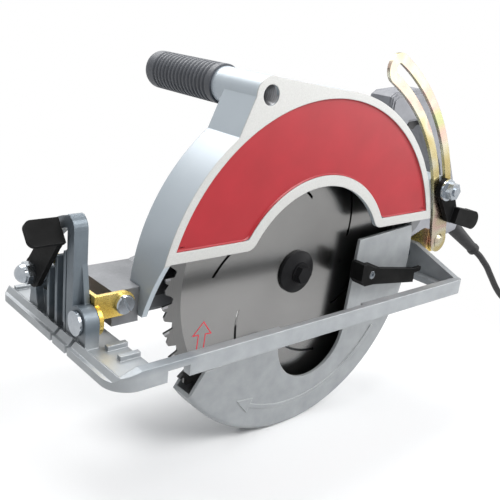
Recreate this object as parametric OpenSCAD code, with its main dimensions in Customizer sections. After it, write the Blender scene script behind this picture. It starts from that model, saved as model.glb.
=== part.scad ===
// Worm drive circular saw with a large blade, a cast foot and a swinging depth arm.
// Millimetres. The saw is drawn about its arbor: X runs to the rear, Y to the motor side, Z up,
// with the blade's middle plane at Y = 0. Every node is then moved so that the origin lies under
// the middle of the saw, on the surface that the lower guard stands on.

/* [Blade] */
// Diameter over the tooth tips
blade_d = 260; // [256:1:262]
// Thickness of the plate
blade_t = 1.8; // [1.4:0.1:2.2]
// Number of teeth
blade_teeth = 38; // [24:2:40]
// Depth of a gullet under the tooth tip
gullet_depth = 9; // [6:0.5:11]
// Number of curved expansion slots
vent_count = 6; // [4:1:8]
// Width of an expansion slot
vent_w = 2.6; // [1.6:0.1:3.2]
// Inner end of the slots, as a share of the blade's radius
vent_in_share = 0.477; // [0.45:0.001:0.5]
// Plate left between the slots and the gullets
vent_margin = 34; // [28:0.5:40]

/* [Arbor] */
// Diameter of the arbor at the blade
arbor_d = 15.9; // [15:0.1:16.5]
// Diameter of the arbor under the worm wheel
spindle_d = 13; // [12:0.1:14]
// Diameter of the blade washers
washer_d = 36; // [32:0.5:36.4]
// Thickness of the outer blade washer
washer_t = 5; // [4:0.1:6]
// Width across the flats of the arbor bolt's head
bolt_af = 13; // [11:0.5:16]
// Height of the arbor bolt's head
bolt_head_h = 6.5; // [5:0.1:8]
// Outside diameter of the arbor's ball bearing
arbor_bearing_d = 35; // [32:1:36]
// Width of the arbor's ball bearing
arbor_bearing_w = 11; // [9:0.5:12]

/* [Worm drive] */
// Distance of the motor's axis from the blade plane
drive_y = 60; // [60:0.5:62]
// Starts of the worm
worm_starts = 3; // [3:1:3]
// Teeth of the wheel
wheel_teeth = 15; // [15:1:15]
// Normal module of the teeth
gear_module = 2.1; // [2.05:0.01:2.12]
// Lead angle of the worm in degrees
lead_angle = 17; // [16.8:0.1:17.4]
// Width of the wheel's face
wheel_w = 13; // [11:0.5:14]
// Length of the worm
worm_l = 36; // [30:1:40]

/* [Upper guard] */
// Gap between the tooth tips and the rim
guard_clear = 15; // [14:0.1:15.4]
// Wall of the rim
guard_wall = 4.3; // [3.5:0.1:5]
// Distance of the near face from the blade plane
guard_near = 22.2; // [21.6:0.1:23]
// Distance of the far face from the blade plane
guard_far = 13; // [13:0.1:13.4]
// Thickness of the near face
face_t = 4; // [3.5:0.1:4.4]
// Thickness of the far plate
far_t = 3.8; // [3:0.1:3.9]
// Height of the lower edge of the near face above the arbor
guard_edge_z = 35; // [34:0.5:38]
// Radius of the window in the near face
window_r = 77; // [76.5:0.5:80]
// Radius of the rounded corners beside the window
window_corner_r = 10; // [6:0.5:12]
// Depth of the sunken panel
panel_depth = 2; // [1:0.1:2.4]
// Border of the panel along the rim
panel_border = 6; // [5:0.5:8]
// Border of the panel along the window
panel_window_border = 8.5; // [7:0.5:11]
// Border of the panel along the lower edge
panel_edge_border = 8; // [6:0.5:10]
// Depth of the guard's back below the arbor
skirt_drop = 8; // [6:0.5:10]
// Distance of the side handle's boss outside the rim
boss_out = 11.14; // [10.8:0.02:12]
// Angle of the boss about the arbor, from the rear, in degrees
boss_angle = 114.84; // [114:0.02:115.4]
// Outer radius of the boss
boss_r = 13; // [12:0.5:14]
// Diameter of the threaded hole through the boss
boss_hole_d = 14.4; // [12:0.1:16]
// Reach of the boss past the blade plane, on the motor side
boss_far = 28.4; // [26:0.2:32]

/* [Side handle] */
// Diameter of the rubber grip
grip_d = 29.2; // [27:0.2:32]
// Length of the rubber grip
grip_l = 87.6; // [80:0.2:90]
// Number of ring grooves
grip_grooves = 15; // [10:1:18]
// Depth of a ring groove
groove_depth = 1.2; // [0.8:0.1:1.8]

/* [Lower guard] */
// Gap between the tooth tips and the lower guard's rim
lower_clear = 2.5; // [2:0.1:3]
// Wall of the rim
lower_wall = 3; // [2.5:0.1:3.4]
// Distance of the near face from the blade plane
lower_near = 14.6; // [14:0.1:15]
// Distance of the far face from the blade plane
lower_far = 6.5; // [6.2:0.1:6.6]
// Thickness of the near plate
lower_plate_t = 3; // [2.5:0.1:3.2]
// Thickness of the far plate
lower_back_t = 2.5; // [2:0.1:2.7]
// Radius of the hub's bore
hub_bore_r = 25; // [24:0.1:25.4]
// Wall of the hub
hub_wall = 6; // [5:0.1:6.4]
// Radius of the round notch in the near plate
notch_r = 39; // [37:0.5:40]
// Radius of the rounding along the near edge of the rim
lower_edge_r = 4; // [3:0.1:5]

/* [Lift lever] */
// Thickness of the lever's bar
lever_t = 4; // [3:0.1:4.4]
// Width of the lever's bar
lever_w = 13; // [11:0.5:14]
// Gap between the bar and the guard's face
lever_gap = 2.3; // [2:0.1:3]

/* [Foot] */
// Reach of the foot in front of the quadrant
foot_toe = 8; // [7:0.5:11]
// Reach of the foot behind the upper guard
foot_heel = 3.2; // [2.4:0.1:3.8]
// Reach of the foot on the near side
foot_near = 63; // [62:0.5:66]
// Reach of the foot on the motor side
foot_far = 104; // [100:0.5:106]
// Depth of the sole under the arbor
sole_drop = 24.4; // [24.4:0.1:25.4]
// Thickness of the foot's plate
foot_t = 5.5; // [5:0.1:6]
// Width of the near rail
rail_w = 7; // [6:0.5:8]
// Height of the near rail over the sole
rail_h = 13.2; // [12:0.1:14]
// Front edge of the blade opening, in front of the depth pivot
opening_toe = 5; // [4:0.5:7]
// Width of the foot behind the blade opening
opening_heel = 13; // [11.6:0.1:13.4]
// Motor side of the blade opening
opening_far = 33; // [32.5:0.1:34]
// Radius of the foot's near front corner
corner_r = 18; // [14:0.5:22]
// Length of the notch for a rip guide
rip_l = 17; // [14:0.5:18]
// Height of the notch for a rip guide
rip_h = 8; // [6:0.2:9]
// Width of a sight notch
sight_w = 3.4; // [2.5:0.1:4]

/* [Bevel] */
// Depth of the bevel axis under the arbor
bevel_drop = 3.5; // [3:0.1:4]
// Radius of the front bevel pin
pin_r = 6; // [5:0.1:6.5]
// Radius of the rear bevel pin
rear_pin_r = 4.5; // [4:0.1:5]
// Thickness of the quadrant post, front to back
post_t = 10; // [9:0.2:11]
// Distance of the post's front face in front of the depth pivot
post_out = 32; // [31.6:0.1:33]
// Outer radius of the quadrant
quadrant_r = 70; // [69:0.5:72]
// Width of the quadrant's rim
quadrant_rim = 8; // [7:0.2:9]
// Middle radius of the quadrant's slot
bevel_slot_r = 56.5; // [56:0.1:57]
// Width of the quadrant's slot
bevel_slot_w = 10.6; // [10:0.1:11]
// Angle of the lever's bolt over the foot's plane, in degrees
bevel_rest_angle = 17.8; // [17:0.1:19]
// Radius of the bevel lever's bolt
bevel_bolt_r = 4.8; // [4.4:0.1:5]

/* [Depth] */
// Distance of the depth pivot in front of the upper guard
pivot_out = 13.7; // [13.4:0.1:14.4]
// Height of the depth pivot above the arbor
pivot_z = 5; // [4.6:0.1:5.4]
// Greatest tilt of the foot in degrees
depth_angle = 23.7; // [20:0.1:23.7]
// Turn of the depth arm for each degree of tilt
arm_turn_share = 0.58; // [0.57:0.005:0.59]
// Distance of the arm's rivet behind the foot
rivet_out = 13.8; // [13.6:0.1:14.4]
// Height of the arm's rivet above the arbor
rivet_z = 10.5; // [10:0.1:11]
// Distance of the depth bolt behind the guard
depth_bolt_out = 6.7; // [6.7:0.1:7.5]
// Height of the depth bolt above the arbor
depth_bolt_z = 62; // [61.5:0.1:62.5]
// Radius of the depth bolt
depth_bolt_r = 3.9; // [3.6:0.1:4.2]
// Width of the arm
arm_w = 24.6; // [24:0.1:25]
// Thickness of the arm and of both brackets
strap_t = 3; // [2.6:0.1:3]
// Distance of the arm's near face from the blade plane
arm_near = 21.5; // [21.5:0.1:21.9]

/* [Motor] */
// Outer radius of the motor housing
motor_r = 43; // [42:0.2:43.4]
// Wall of the motor housing
motor_wall = 3.5; // [3:0.1:4]
// Front end of the motor housing, behind the arbor
motor_front = 52; // [51:0.5:54]
// Length of the motor housing
motor_l = 112; // [111:0.5:114]
// Length of the brush end cap
end_l = 34; // [33:0.5:36]
// Radius of the armature shaft
shaft_r = 6; // [5.6:0.1:6.2]
// Radius of the armature's core
core_r = 23.5; // [22:0.2:24]
// Length of the armature's core
core_l = 50; // [44:1:52]
// Radial air gap between armature and field
air_gap = 1; // [0.6:0.1:1.4]

/* [Rear handle] */
// Distance of the handle's middle plane from the blade plane
handle_y = 56; // [55:0.5:58]
// Width of the handle
handle_w = 30; // [28:0.5:32]
// Rear end of the handle, behind the arbor
handle_rear = 299; // [296:0.5:302]
// Highest point of the handle above the arbor
handle_top = 142; // [140:0.5:144]
// Edge rounding of the handle
handle_edge = 4; // [3:0.2:5]
// Travel of the trigger
trigger_travel = 5; // [4:0.2:6]

/* [Cord] */
// Diameter of the cord
cord_d = 7.6; // [7.2:0.1:7.8]
// Mean radius of the coil's outer turn
coil_r = 60; // [60:0.5:60]
// Pitch of the coil's turns and layers
coil_pitch = 8.4; // [8.3:0.05:8.6]
// Turns of the coil
coil_turns = 7.25; // [7.25:1:7.25]

/* [Hidden] */

$fn = 64;
fine_fn = 128;
arc_step = 15;
eps = 0.01;
over = 1;
fit = 0.05;
seat = 0.02;
gap = 0.3;

// The guards, the foot and its pivots take their places from the blade
blade_r = blade_d / 2;
guard_r = blade_r + guard_clear + guard_wall;
lower_r = blade_r + lower_clear + lower_wall;
pivot_fore = guard_r + pivot_out;
post_front = pivot_fore + post_out;
foot_front = post_front + foot_toe;
foot_rear = guard_r + foot_heel;
opening_front = pivot_fore + opening_toe;
opening_rear = foot_rear - opening_heel;
rivet_x = foot_rear + rivet_out;
depth_bolt_x = guard_r + depth_bolt_out;
boss_x = (guard_r + boss_out) * cos(boss_angle);
boss_z = (guard_r + boss_out) * sin(boss_angle);

// Blade and arbor stack along Y
gullet_r = blade_r - gullet_depth;
vent_r = blade_r * vent_in_share;
vent_reach = gullet_r - vent_r - vent_margin;
tooth_pitch = 360 / blade_teeth;
tooth_phase = 182.6;
arbor_r = arbor_d / 2;
spindle_r = spindle_d / 2;
washer_r = washer_d / 2;
blade_half = blade_t / 2;
inner_washer_t = 3.4;
inner_washer_far = blade_half + inner_washer_t;
collar_near = 3.4;
collar_wall_r = hub_bore_r - fit;
bearing_near = 5.2;
bearing_far = bearing_near + arbor_bearing_w;
bolt_thread_d = 8;
bolt_thread_l = 24;
bolt_flange_r = 8.2;
bolt_flange_t = 1.3;
dish_inner_r = 9.5;
dish_outer_r = 14;
washer_shares = [0.45, 0.75];

// Worm and wheel, crossed helical teeth
worm_pitch_r = worm_starts * gear_module / (2 * sin(lead_angle));
wheel_pitch_r = wheel_teeth * gear_module / (2 * cos(lead_angle));
drive_z = worm_pitch_r + wheel_pitch_r;
worm_lead = 2 * PI * worm_pitch_r * tan(lead_angle);
dedendum_share = 1.2;
addendum_share = 0.9;
wheel_tip_r = wheel_pitch_r + gear_module * addendum_share;
worm_tip_r = worm_pitch_r + gear_module * addendum_share;
worm_root_r = worm_pitch_r - gear_module * dedendum_share;
wheel_root_r = wheel_pitch_r - gear_module * dedendum_share;
worm_flank = [42, 23, 8];
wheel_flank = [8.4, 5, 2.4];
lock_hole_r = 2.2;
lock_r = 10.4;
lock_holes = 4;

// Gear case
chamber_wall = 3;
tip_clear = 0.9;
chamber_r = wheel_tip_r + tip_clear;
case_r = chamber_r + chamber_wall;
worm_chamber_r = worm_tip_r + tip_clear;
chamber_fore = 14;
chamber_near = drive_y - chamber_fore;
cover_reach = 17;
cover_y = drive_y + cover_reach;
cover_t = 4;
cover_boss_l = 12;
cover_boss_far = cover_y + cover_boss_l;
rear_bearing_r = 7.5;
rear_bearing_w = 8;
rear_bearing_step = 1.5;
rear_bearing_near = cover_y + rear_bearing_step;
journal_r = 5;
cover_boss_r = 15;
spindle_far = rear_bearing_near + rear_bearing_w;
worm_case_r = worm_chamber_r + chamber_wall;
worm_case_front = -48;
front_bearing_r = 12;
front_bearing_w = 9;
front_bearing_x = -43;
mid_bearing_r = 15;
mid_bearing_w = 10;
mid_bearing_x = 30;
flare_x = 22;
flange_r = 42;
flange_t = 7;
flange_cut_share = 0.7;
tunnel_end_share = 0.75;
nose_toe = 7;
nose_front = pivot_fore + nose_toe;
nose_lap = 21.3;
nose_rear = guard_r - nose_lap;
nose_top = 13.5;
nose_drop = 12;
nose_far = 50;
arm_root_top = 40;
arm_root_x = 40;
case_near_gap = 0.2;

// Upper guard
grip_axis_far = boss_far + grip_l;
lug_r = 11;
lug_near = arm_near - strap_t - gap;
lug_far = 4;
lug_low_angle = 15;
lug_high_angle = 28;
lug_side_shares = [0.37, -0.93];
stud_r = 6.5;
stud_near = 8;
skirt_taper_y = 4;
back_cut = 11.3;
back_rear = guard_r - back_cut;
back_step_z = 30;
back_front = 60;
back_front_drop = 0.5;
ring_gap = guard_far - far_t;

// Lower guard
lower_in_r = lower_r - lower_wall;
hub_clear = 0.4;
hub_far = ring_gap - hub_clear;
hub_r = hub_bore_r + hub_wall;
notch_x = 16;
notch_z = -55;
toe_shares = [-0.712, -0.443];
toe_run_shares = [-1.04, -0.918];
heel_shares = [0.443, 0.17];
heel_rim_shares = [1.06, 0.226];
beyond_share = 1.2;
spring_wire = 1.2;
spring_turns = 3;
spring_pitch = 2;
spring_rings = 20;
spring_clear = 2.2;
spring_r = hub_r + spring_clear;
spring_lift = 0.5;
arrow_in = 21.5;
arrow_r = lower_r - arrow_in;
arrow_w = 3.2;
arrow_h = 0.8;
arrow_tail = -34;
arrow_neck = -115;
arrow_tip = -123;

// Lift lever
lever_near = guard_near + lever_gap + lever_t;
lever_x0 = 53;
lever_x1 = 74;
lever_block_z0 = -14;
lever_block_z1 = 6;
lever_rear_clear = 1.7;
lever_rise = 5;
lever_tip_z = lever_block_z1 - lever_rise * 3;
tab_l = 11;
tab_w = 12;
tab_bend = 1.5;
tab_t = 3.4;
lever_tip_x = opening_rear - lever_rear_clear - tab_l;
lever_screw_r = 3.4;
lever_shank_r = 2;
lever_head_t = 4;

// Foot
sole_z = -sole_drop;
plate_z = sole_z + foot_t;
rail_z = sole_z + rail_h;
rail_in = foot_near - rail_w;
lip_h = 9;
lip_w = 10;
lip_toe_h = 2.5;
lip_crest_w = 6;
lip_crest_x = lip_crest_w - foot_front;
rail_front = corner_r - foot_front;
pad_front = 77;
pad_rear = 30;
pad_w = 9;
pad_groove_w = 2.4;
pad_groove_d = 1.6;
rip_in = 2;
rip_front = opening_front - rip_in;
wall_t = 5;
wall_h = 10;
wall_z = sole_z + wall_h;
bay_half = 20;
bay_clear = 3;
bay_far = cover_boss_far + bay_clear;
rear_wall_t = 6;
rear_wall_top = 7;
rear_wall_near = 58;
rear_wall_half = 10;
edge_lip_h = 8;
edge_lip_w = 4;
rib_t = 4;
side_rib_h = 6.9;
foot_round = 9;
sight_gap = sole_drop - bevel_drop;
sight_l = 9;

// Bevel quadrant, lever and brackets
bevel_z = -bevel_drop;
leg_y0 = 7;
leg_y1 = 16;
leg_w = leg_y1 - leg_y0;
post_rear = post_front - post_t;
boss_pin_r = 11;
web_t = 4;
web_clear = 2;
web_r = bevel_slot_r - bevel_slot_w / 2 - web_clear;
rib_places_share = [0.36, 0.6, 0.84];
post_rib_t = 3;
bolt_y = bevel_slot_r * cos(bevel_rest_angle);
bolt_z = bevel_z + bevel_slot_r * sin(bevel_rest_angle);
bracket_x = -post_rear + gap;
tab_half = 8.6;
bracket_gap = 0.1;
rear_bracket_x = foot_rear + gap;
ear_near = arm_near - strap_t - gap;
ear_r = 11;
ear_shares = [0.7, 0.8];
rivet_r = 4;
rivet_head_r = 6.5;
rivet_top_r = 3.9;
rivet_head_t = 2;
screw_head_r = 7;
screw_shank_r = 4;
washer_front_t = 2;
bevel_lever_t = 4;
bevel_head_r = 7.7;
bevel_washer_r = 9.6;
bevel_hub_r = 10.5;
bevel_arm_y = 25;
bevel_arm_z = 49;
bevel_arm_r = 9;
paddle_l = 24;
nut_af = 14;
nut_h = 7;
nut_hex_h = 5.5;
dome_r = 6.8;

// Depth linkage
pivot = [-pivot_fore, pivot_z];
rivet = [rivet_x, rivet_z];
depth_bolt_at = [depth_bolt_x, depth_bolt_z];
arm_steps = 24;
slot_clear = 0.4;
slot_half = depth_bolt_r + slot_clear;
depth_lever_gap = 0.4;
depth_hub_r = 10;
depth_hub_t = 5;
depth_tip_out = 16;
depth_tip_drop = 25;
depth_paddle_reach = 44;
depth_paddle_drop = 32;
depth_tip_x = depth_bolt_x + depth_tip_out;
depth_tip_z = depth_bolt_z - depth_tip_drop;
depth_tip_r = 8;
depth_paddle_r = 8.8;
depth_paddle_x = depth_bolt_x + depth_paddle_reach;
depth_paddle_z = depth_bolt_z - depth_paddle_drop;
depth_washer_t = 1.6;
depth_nut_h = 7;

// Motor
motor_rear = motor_front + motor_l;
end_rear = motor_rear + end_l;
motor_in_r = motor_r - motor_wall;
core_x = 78;
field_in_r = core_r + air_gap;
field_out_r = motor_in_r - seat;
commutator_r = 14;
commutator_l = 16;
commutator_x = 138;
commutator_bars = 22;
fan_x = 58;
fan_w = 11;
fan_r = 36;
fan_blades = 11;
fan_blade_t = 2.4;
hub_fan_r = 12;
shaft_front = front_bearing_x + over;
motor_bearing_r = 13;
motor_bearing_w = 9;
motor_bearing_in = 16;
motor_bearing_x = end_rear - motor_bearing_in;
shaft_rear = motor_bearing_x + motor_bearing_w;
brush_half = 3.5;
brush_l = 16;
holder_r = 7;
holder_clear = 2.4;
cap_r = 8;
cap_t = 2.6;
brush_x = commutator_x + commutator_l / 2;
coil_end_l = 8;
vent_slot_w = 5;
end_slot_in = 5.2;
motor_vents = 12;
lug_bolt_r = 5.5;
motor_bolt_r = 2.5;
lug_angle = 45;
lug_l = 12;
motor_bolt_head_r = 4;
motor_bolt_head_t = 4;

// Rear handle outline, as shares of its length behind the motor housing and of its height
handle_lap = 22;
handle_front = motor_rear - handle_lap;
handle_low = -18;
handle_span = handle_rear - handle_front;
handle_rise = handle_top - handle_low;
handle_outer_shares = [[0, 0.45], [0.02, 0.95], [0.06, 0.975], [0.30, 1], [0.33, 0.995], [0.5, 0.87],
                       [0.65, 0.70], [0.72, 0.59], [0.805, 0.44], [0.94, 0.2], [1, 0.06],
                       [0.985, 0.02], [0.9, 0], [0.36, 0.04]];
hand_hole_shares = [[0.19, 0.57], [0.19, 0.76], [0.22, 0.80], [0.36, 0.81], [0.42, 0.78], [0.53, 0.63],
                    [0.615, 0.52], [0.69, 0.37], [0.74, 0.24], [0.72, 0.2], [0.37, 0.2], [0.35, 0.22],
                    [0.35, 0.5]];
handle_middle_share = 0.5;
handle_near = handle_y - handle_w / 2;
handle_far = handle_y + handle_w / 2;
trigger_shares = [0.29, 0.40];
trigger_x0 = handle_front + handle_span * trigger_shares[0];
trigger_x1 = handle_front + handle_span * trigger_shares[1];
trigger_step = 2;
trigger_step_z = 116;
trigger_half = 5;
trigger_low = 101;
trigger_high = 122;
trigger_well = trigger_high + trigger_travel + over;
switch_in = 10;
switch_l = 24;
switch_x0 = handle_front + switch_in;
switch_x1 = switch_x0 + switch_l;
switch_half = 9;
switch_z0 = 112;
switch_z1 = 130;

// The saw's place over the surface it stands on
paddle_front = post_front + gap * 2 + washer_front_t + paddle_l;
origin_x = (handle_rear - paddle_front) / 2;
origin_y = (grip_axis_far - foot_near) / 2;
origin = [origin_x, origin_y, -lower_r];

// The cord's route in the finished frame, from the strain relief to the coil
relief_in = [10.3, -3.5, 0.5];
relief_root = [handle_rear, handle_y, 0] - relief_in - origin;
relief_reach = [58, -16.6, -45.6];
lead_start = relief_root + relief_reach;
lead_run = 149;
lead_side = 5.4;
coil_lift = 4.9;
coil_start = [lead_start.x + lead_run, lead_start.y - lead_side];
lead_shares = [[0, 1, 1], [0.08, 0.37, 0.888], [0.135, 0.18, 0.806], [0.195, 0, 0.711], [0.262, 0, 0.593],
               [0.329, 0, 0.475], [0.396, 0, 0.356], [0.463, 0, 0.25], [0.53, 0, 0.155], [0.597, 0, 0.078],
               [0.664, 0, 0.03], [0.732, 0, 0.007], [0.8, 0, 0], [0.867, 0, 0], [0.934, 0, 0], [1, 0, 0]];
lead_points = [for (s = lead_shares) [lead_start.x + lead_run * s.x, coil_start.y + lead_side * s.y,
                                      coil_lift + (lead_start.z - coil_lift) * s.z]];
cord_r = cord_d / 2;
lead_sides = 10;
coil_sides = 6;
coil_rings = 24;
coil_centre = [coil_start.x + cord_d, coil_start.y - coil_r];
relief_r = 9;
relief_end_r = 6.2;
plug_w = 26;
plug_l = 42;
plug_neck_l = 16.8;
plug_grip_y = 26;
plug_h = 25;
plug_run = 48;
pin_l = 17;
pin_w = 6.4;
pin_t = 1.6;
pin_step = 12.7;
earth_r = 2.4;
tie_w = 9;
tie_t = 0.8;

// Helpers: solids along one axis

// A flat outline in X and Z, made solid from one Y to another
module along_y(y0, y1) translate([0, y1, 0]) rotate([90, 0, 0]) linear_extrude(y1 - y0) children();

// A flat outline in Y and Z, made solid from one X to another
module along_x(x0, x1) translate([x0, 0, 0]) rotate([90, 0, 90]) linear_extrude(x1 - x0) children();

// A flat outline in X and Y, made solid from one Z to another
module along_z(z0, z1) translate([0, 0, z0]) linear_extrude(z1 - z0) children();

// Round bars along each axis
module rod_y(r, y0, y1, x = 0, z = 0) translate([x, y1, z]) rotate([90, 0, 0]) cylinder(r = r, h = y1 - y0);
module rod_x(r, x0, x1, y, z) translate([x0, y, z]) rotate([0, 90, 0]) cylinder(r = r, h = x1 - x0);
module rod_z(r, z0, z1, x, y) translate([x, y, z0]) cylinder(r = r, h = z1 - z0);

// A ring along Y or X
module ring_y(r, hole, y0, y1, x = 0, z = 0) {
    difference() {
        rod_y(r, y0, y1, x, z);
        rod_y(hole, y0 - over, y1 + over, x, z);
    }
}
module ring_x(r, hole, x0, x1, y, z) {
    difference() {
        rod_x(r, x0, x1, y, z);
        rod_x(hole, x0 - over, x1 + over, y, z);
    }
}

// A turned profile of points [radius, place] about Y or X
module turned_y(profile) rotate([-90, 0, 0]) rotate_extrude() polygon(profile);
module turned_x(profile, y, z) translate([0, y, z]) rotate([0, 90, 0]) rotate_extrude() polygon(profile);

// A box from one corner to the other
module box(a, b) translate(a) cube(b - a);

// A hexagon across its flats
module hexagon(af) circle(d = af / cos(30), $fn = 6);

// A strip between two radii and two angles
module strip(r0, r1, a0, a1, steps = 24) {
    ring = [for (i = [0:steps]) a0 + (a1 - a0) * i / steps];
    polygon(concat([for (a = ring) r1 * [cos(a), sin(a)]],
                   [for (i = [steps:-1:0]) r0 * [cos(ring[i]), sin(ring[i])]]));
}

// Points of a share table, spread over a length and a height
function spread(shares, x0, dx, z0, dz) = [for (s = shares) [x0 + s.x * dx, z0 + s.y * dz]];

// A turn of a point about another in the X and Z plane, positive about +Y
function turn(p, c, a) = c + [(p - c).x * cos(a) + (p - c).y * sin(a),
                              (p - c).y * cos(a) - (p - c).x * sin(a)];

// A tube of flat sides swept along points, with closed ends
function unit(v) = v / norm(v);
function heading(p, i) = unit(p[min(i + 1, len(p) - 1)] - p[max(i - 1, 0)]);
function side_of(d) = unit(cross(d, abs(d.z) > 0.9 ? [0, 1, 0] : [0, 0, 1]));
function ring_at(p, i, r, sides) =
    let (d = heading(p, i), u = side_of(d), v = cross(u, d))
    [for (k = [0:sides - 1]) let (a = 360 * (k + 0.5) / sides) p[i] + r * (cos(a) * u + sin(a) * v)];
module tube(points, r, sides) {
    n = len(points);
    skin = [for (i = [0:n - 1]) each ring_at(points, i, r, sides)];
    quads = [for (i = [0:n - 2], k = [0:sides - 1])
        let (a = i * sides + k, b = i * sides + (k + 1) % sides)
        each [[a, b, b + sides], [a, b + sides, a + sides]]];
    first = [for (k = [1:sides - 2]) [0, k + 1, k]];
    last = [for (k = [1:sides - 2]) (n - 1) * sides * [1, 1, 1] + [0, k, k + 1]];
    polyhedron(skin, concat(quads, first, last));
}

// Moves a drawn piece to its place over the surface
module placed() translate(-origin) children();

// Upper guard: one casting with a sunken panel, a window, a back plate and a handle boss

// Outline of a guard face above an edge, with a round window and rounded corners beside it
module face_outline(r, hole, edge, corner) {
    c = [sqrt(pow(hole + corner, 2) - pow(edge + corner, 2)), edge + corner];
    tip = [sqrt(hole * hole - edge * edge), edge];
    touch = c * hole / (hole + corner);
    difference() {
        circle(r, $fn = fine_fn);
        translate([-r - over, -r * 2 + edge]) square([2 * (r + over), r * 2]);
        circle(hole, $fn = fine_fn);
        for (side = [0, 1])
            mirror([side, 0])
                polygon([tip - [over, over], [c.x, edge - over], c, touch, touch - [over, 0]]);
    }
    for (side = [0, 1])
        mirror([side, 0]) translate(c) circle(corner);
}

// The web that runs from the boss to the rim, close to tangent to both
web_inset = 0.4;
web_low_share = 0.42;

module boss_web() {
    boss = [boss_x, boss_z];
    lean = atan2(boss_z, boss_x);
    open = acos((guard_r - boss_r) / norm(boss));
    up = [cos(lean - open), sin(lean - open)];
    low = lean + open * web_low_share;
    difference() {
        polygon([boss, boss + (boss_r - web_inset) * up, (guard_r - web_inset) * up, [0, 0],
                 (guard_r - web_inset) * [cos(low), sin(low)], boss - [boss_r - web_inset, 0]]);
        circle(guard_r - guard_wall / 2, $fn = fine_fn);
    }
}

module upper_guard() color("silver") {
    difference() {
        union() {
            along_y(-guard_near, face_t - guard_near)
                face_outline(guard_r, window_r, guard_edge_z, window_corner_r);
            // Rim, down to the skirt in front
            difference() {
                along_y(-guard_near, guard_far) difference() {
                    circle(guard_r, $fn = fine_fn);
                    circle(guard_r - guard_wall, $fn = fine_fn);
                    translate([-guard_r * 2, -guard_r * 2 - skirt_drop]) square(guard_r * [4, 2]);
                    translate([0, -skirt_drop - over])
                        square([guard_r * 2, guard_edge_z + skirt_drop + over]);
                }
                // The front end of the rim narrows to the skirt
                along_x(-guard_r - over, -guard_r / 2)
                    polygon([[-guard_near - over, guard_edge_z], [-guard_near, guard_edge_z],
                             [-skirt_taper_y, -skirt_drop - over], [-guard_near - over,
                                 -skirt_drop - over]]);
            }
            // Back plate round the gear case's collar
            along_y(ring_gap, guard_far) difference() {
                circle(guard_r - guard_wall / 2, $fn = fine_fn);
                translate([-guard_r * 2, -guard_r * 2 - skirt_drop]) square(guard_r * [4, 2]);
                translate([back_rear, -guard_r]) square([guard_r, guard_r + back_step_z]);
                translate([-guard_r * 2, -guard_r])
                    square([guard_r * 2 - back_front, guard_r - back_front_drop]);
            }
            // Boss for the side handle and its web
            rod_y(boss_r, -guard_near, boss_far, boss_x, boss_z);
            along_y(-guard_near, guard_far) boss_web();
            // Lug for the depth bolt
            along_y(-lug_near, lug_far) difference() {
                union() {
                    translate(depth_bolt_at) circle(lug_r);
                    polygon([[0, 0], (guard_r - web_inset) * [cos(lug_low_angle), sin(lug_low_angle)],
                             depth_bolt_at + lug_r * lug_side_shares,
                                 depth_bolt_at - lug_r * lug_side_shares,
                             (guard_r - web_inset) * [cos(lug_high_angle), sin(lug_high_angle)]]);
                }
                circle(guard_r - guard_wall / 2, $fn = fine_fn);
            }
        }
        // Sunken panel
        along_y(-guard_near - over, panel_depth - guard_near)
            face_outline(guard_r - panel_border, window_r + panel_window_border,
                         guard_edge_z + panel_edge_border, window_corner_r / 3);
        rod_y(boss_hole_d / 2, -guard_near - over, stud_near, boss_x, boss_z);
        rod_y(stud_r + seat, stud_near - over, boss_far + over, boss_x, boss_z);
        rod_y(collar_wall_r + gap, ring_gap - over, guard_far + over);
        rod_y(depth_bolt_r + seat, -lug_near - over, lug_far + over, depth_bolt_x, depth_bolt_z);
        for (a = guard_screw_angles)
            rod_y(guard_screw_r + seat, ring_gap - over, guard_far + over,
                  guard_screw_circle * cos(a), guard_screw_circle * sin(a));
    }
}

// Countersunk screws through the guard's back into the gear case's flange
guard_screw_r = 2.5;
guard_screw_circle = 36;
guard_screw_angles = [20, 75, 130, 172];
guard_screw_l = 9;
guard_screw_head_r = 4.6;
guard_screw_head_t = 0.9;

module guard_screws() color("dimgray")
    for (a = guard_screw_angles)
        translate(guard_screw_circle * [cos(a), 0, sin(a)]) turned_y([[0, ring_gap - guard_screw_head_t],
            [guard_screw_head_r, ring_gap - guard_screw_head_t], [guard_screw_head_r, ring_gap],
            [guard_screw_r, ring_gap], [guard_screw_r, ring_gap + guard_screw_l], [0,
                ring_gap + guard_screw_l]]);

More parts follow.
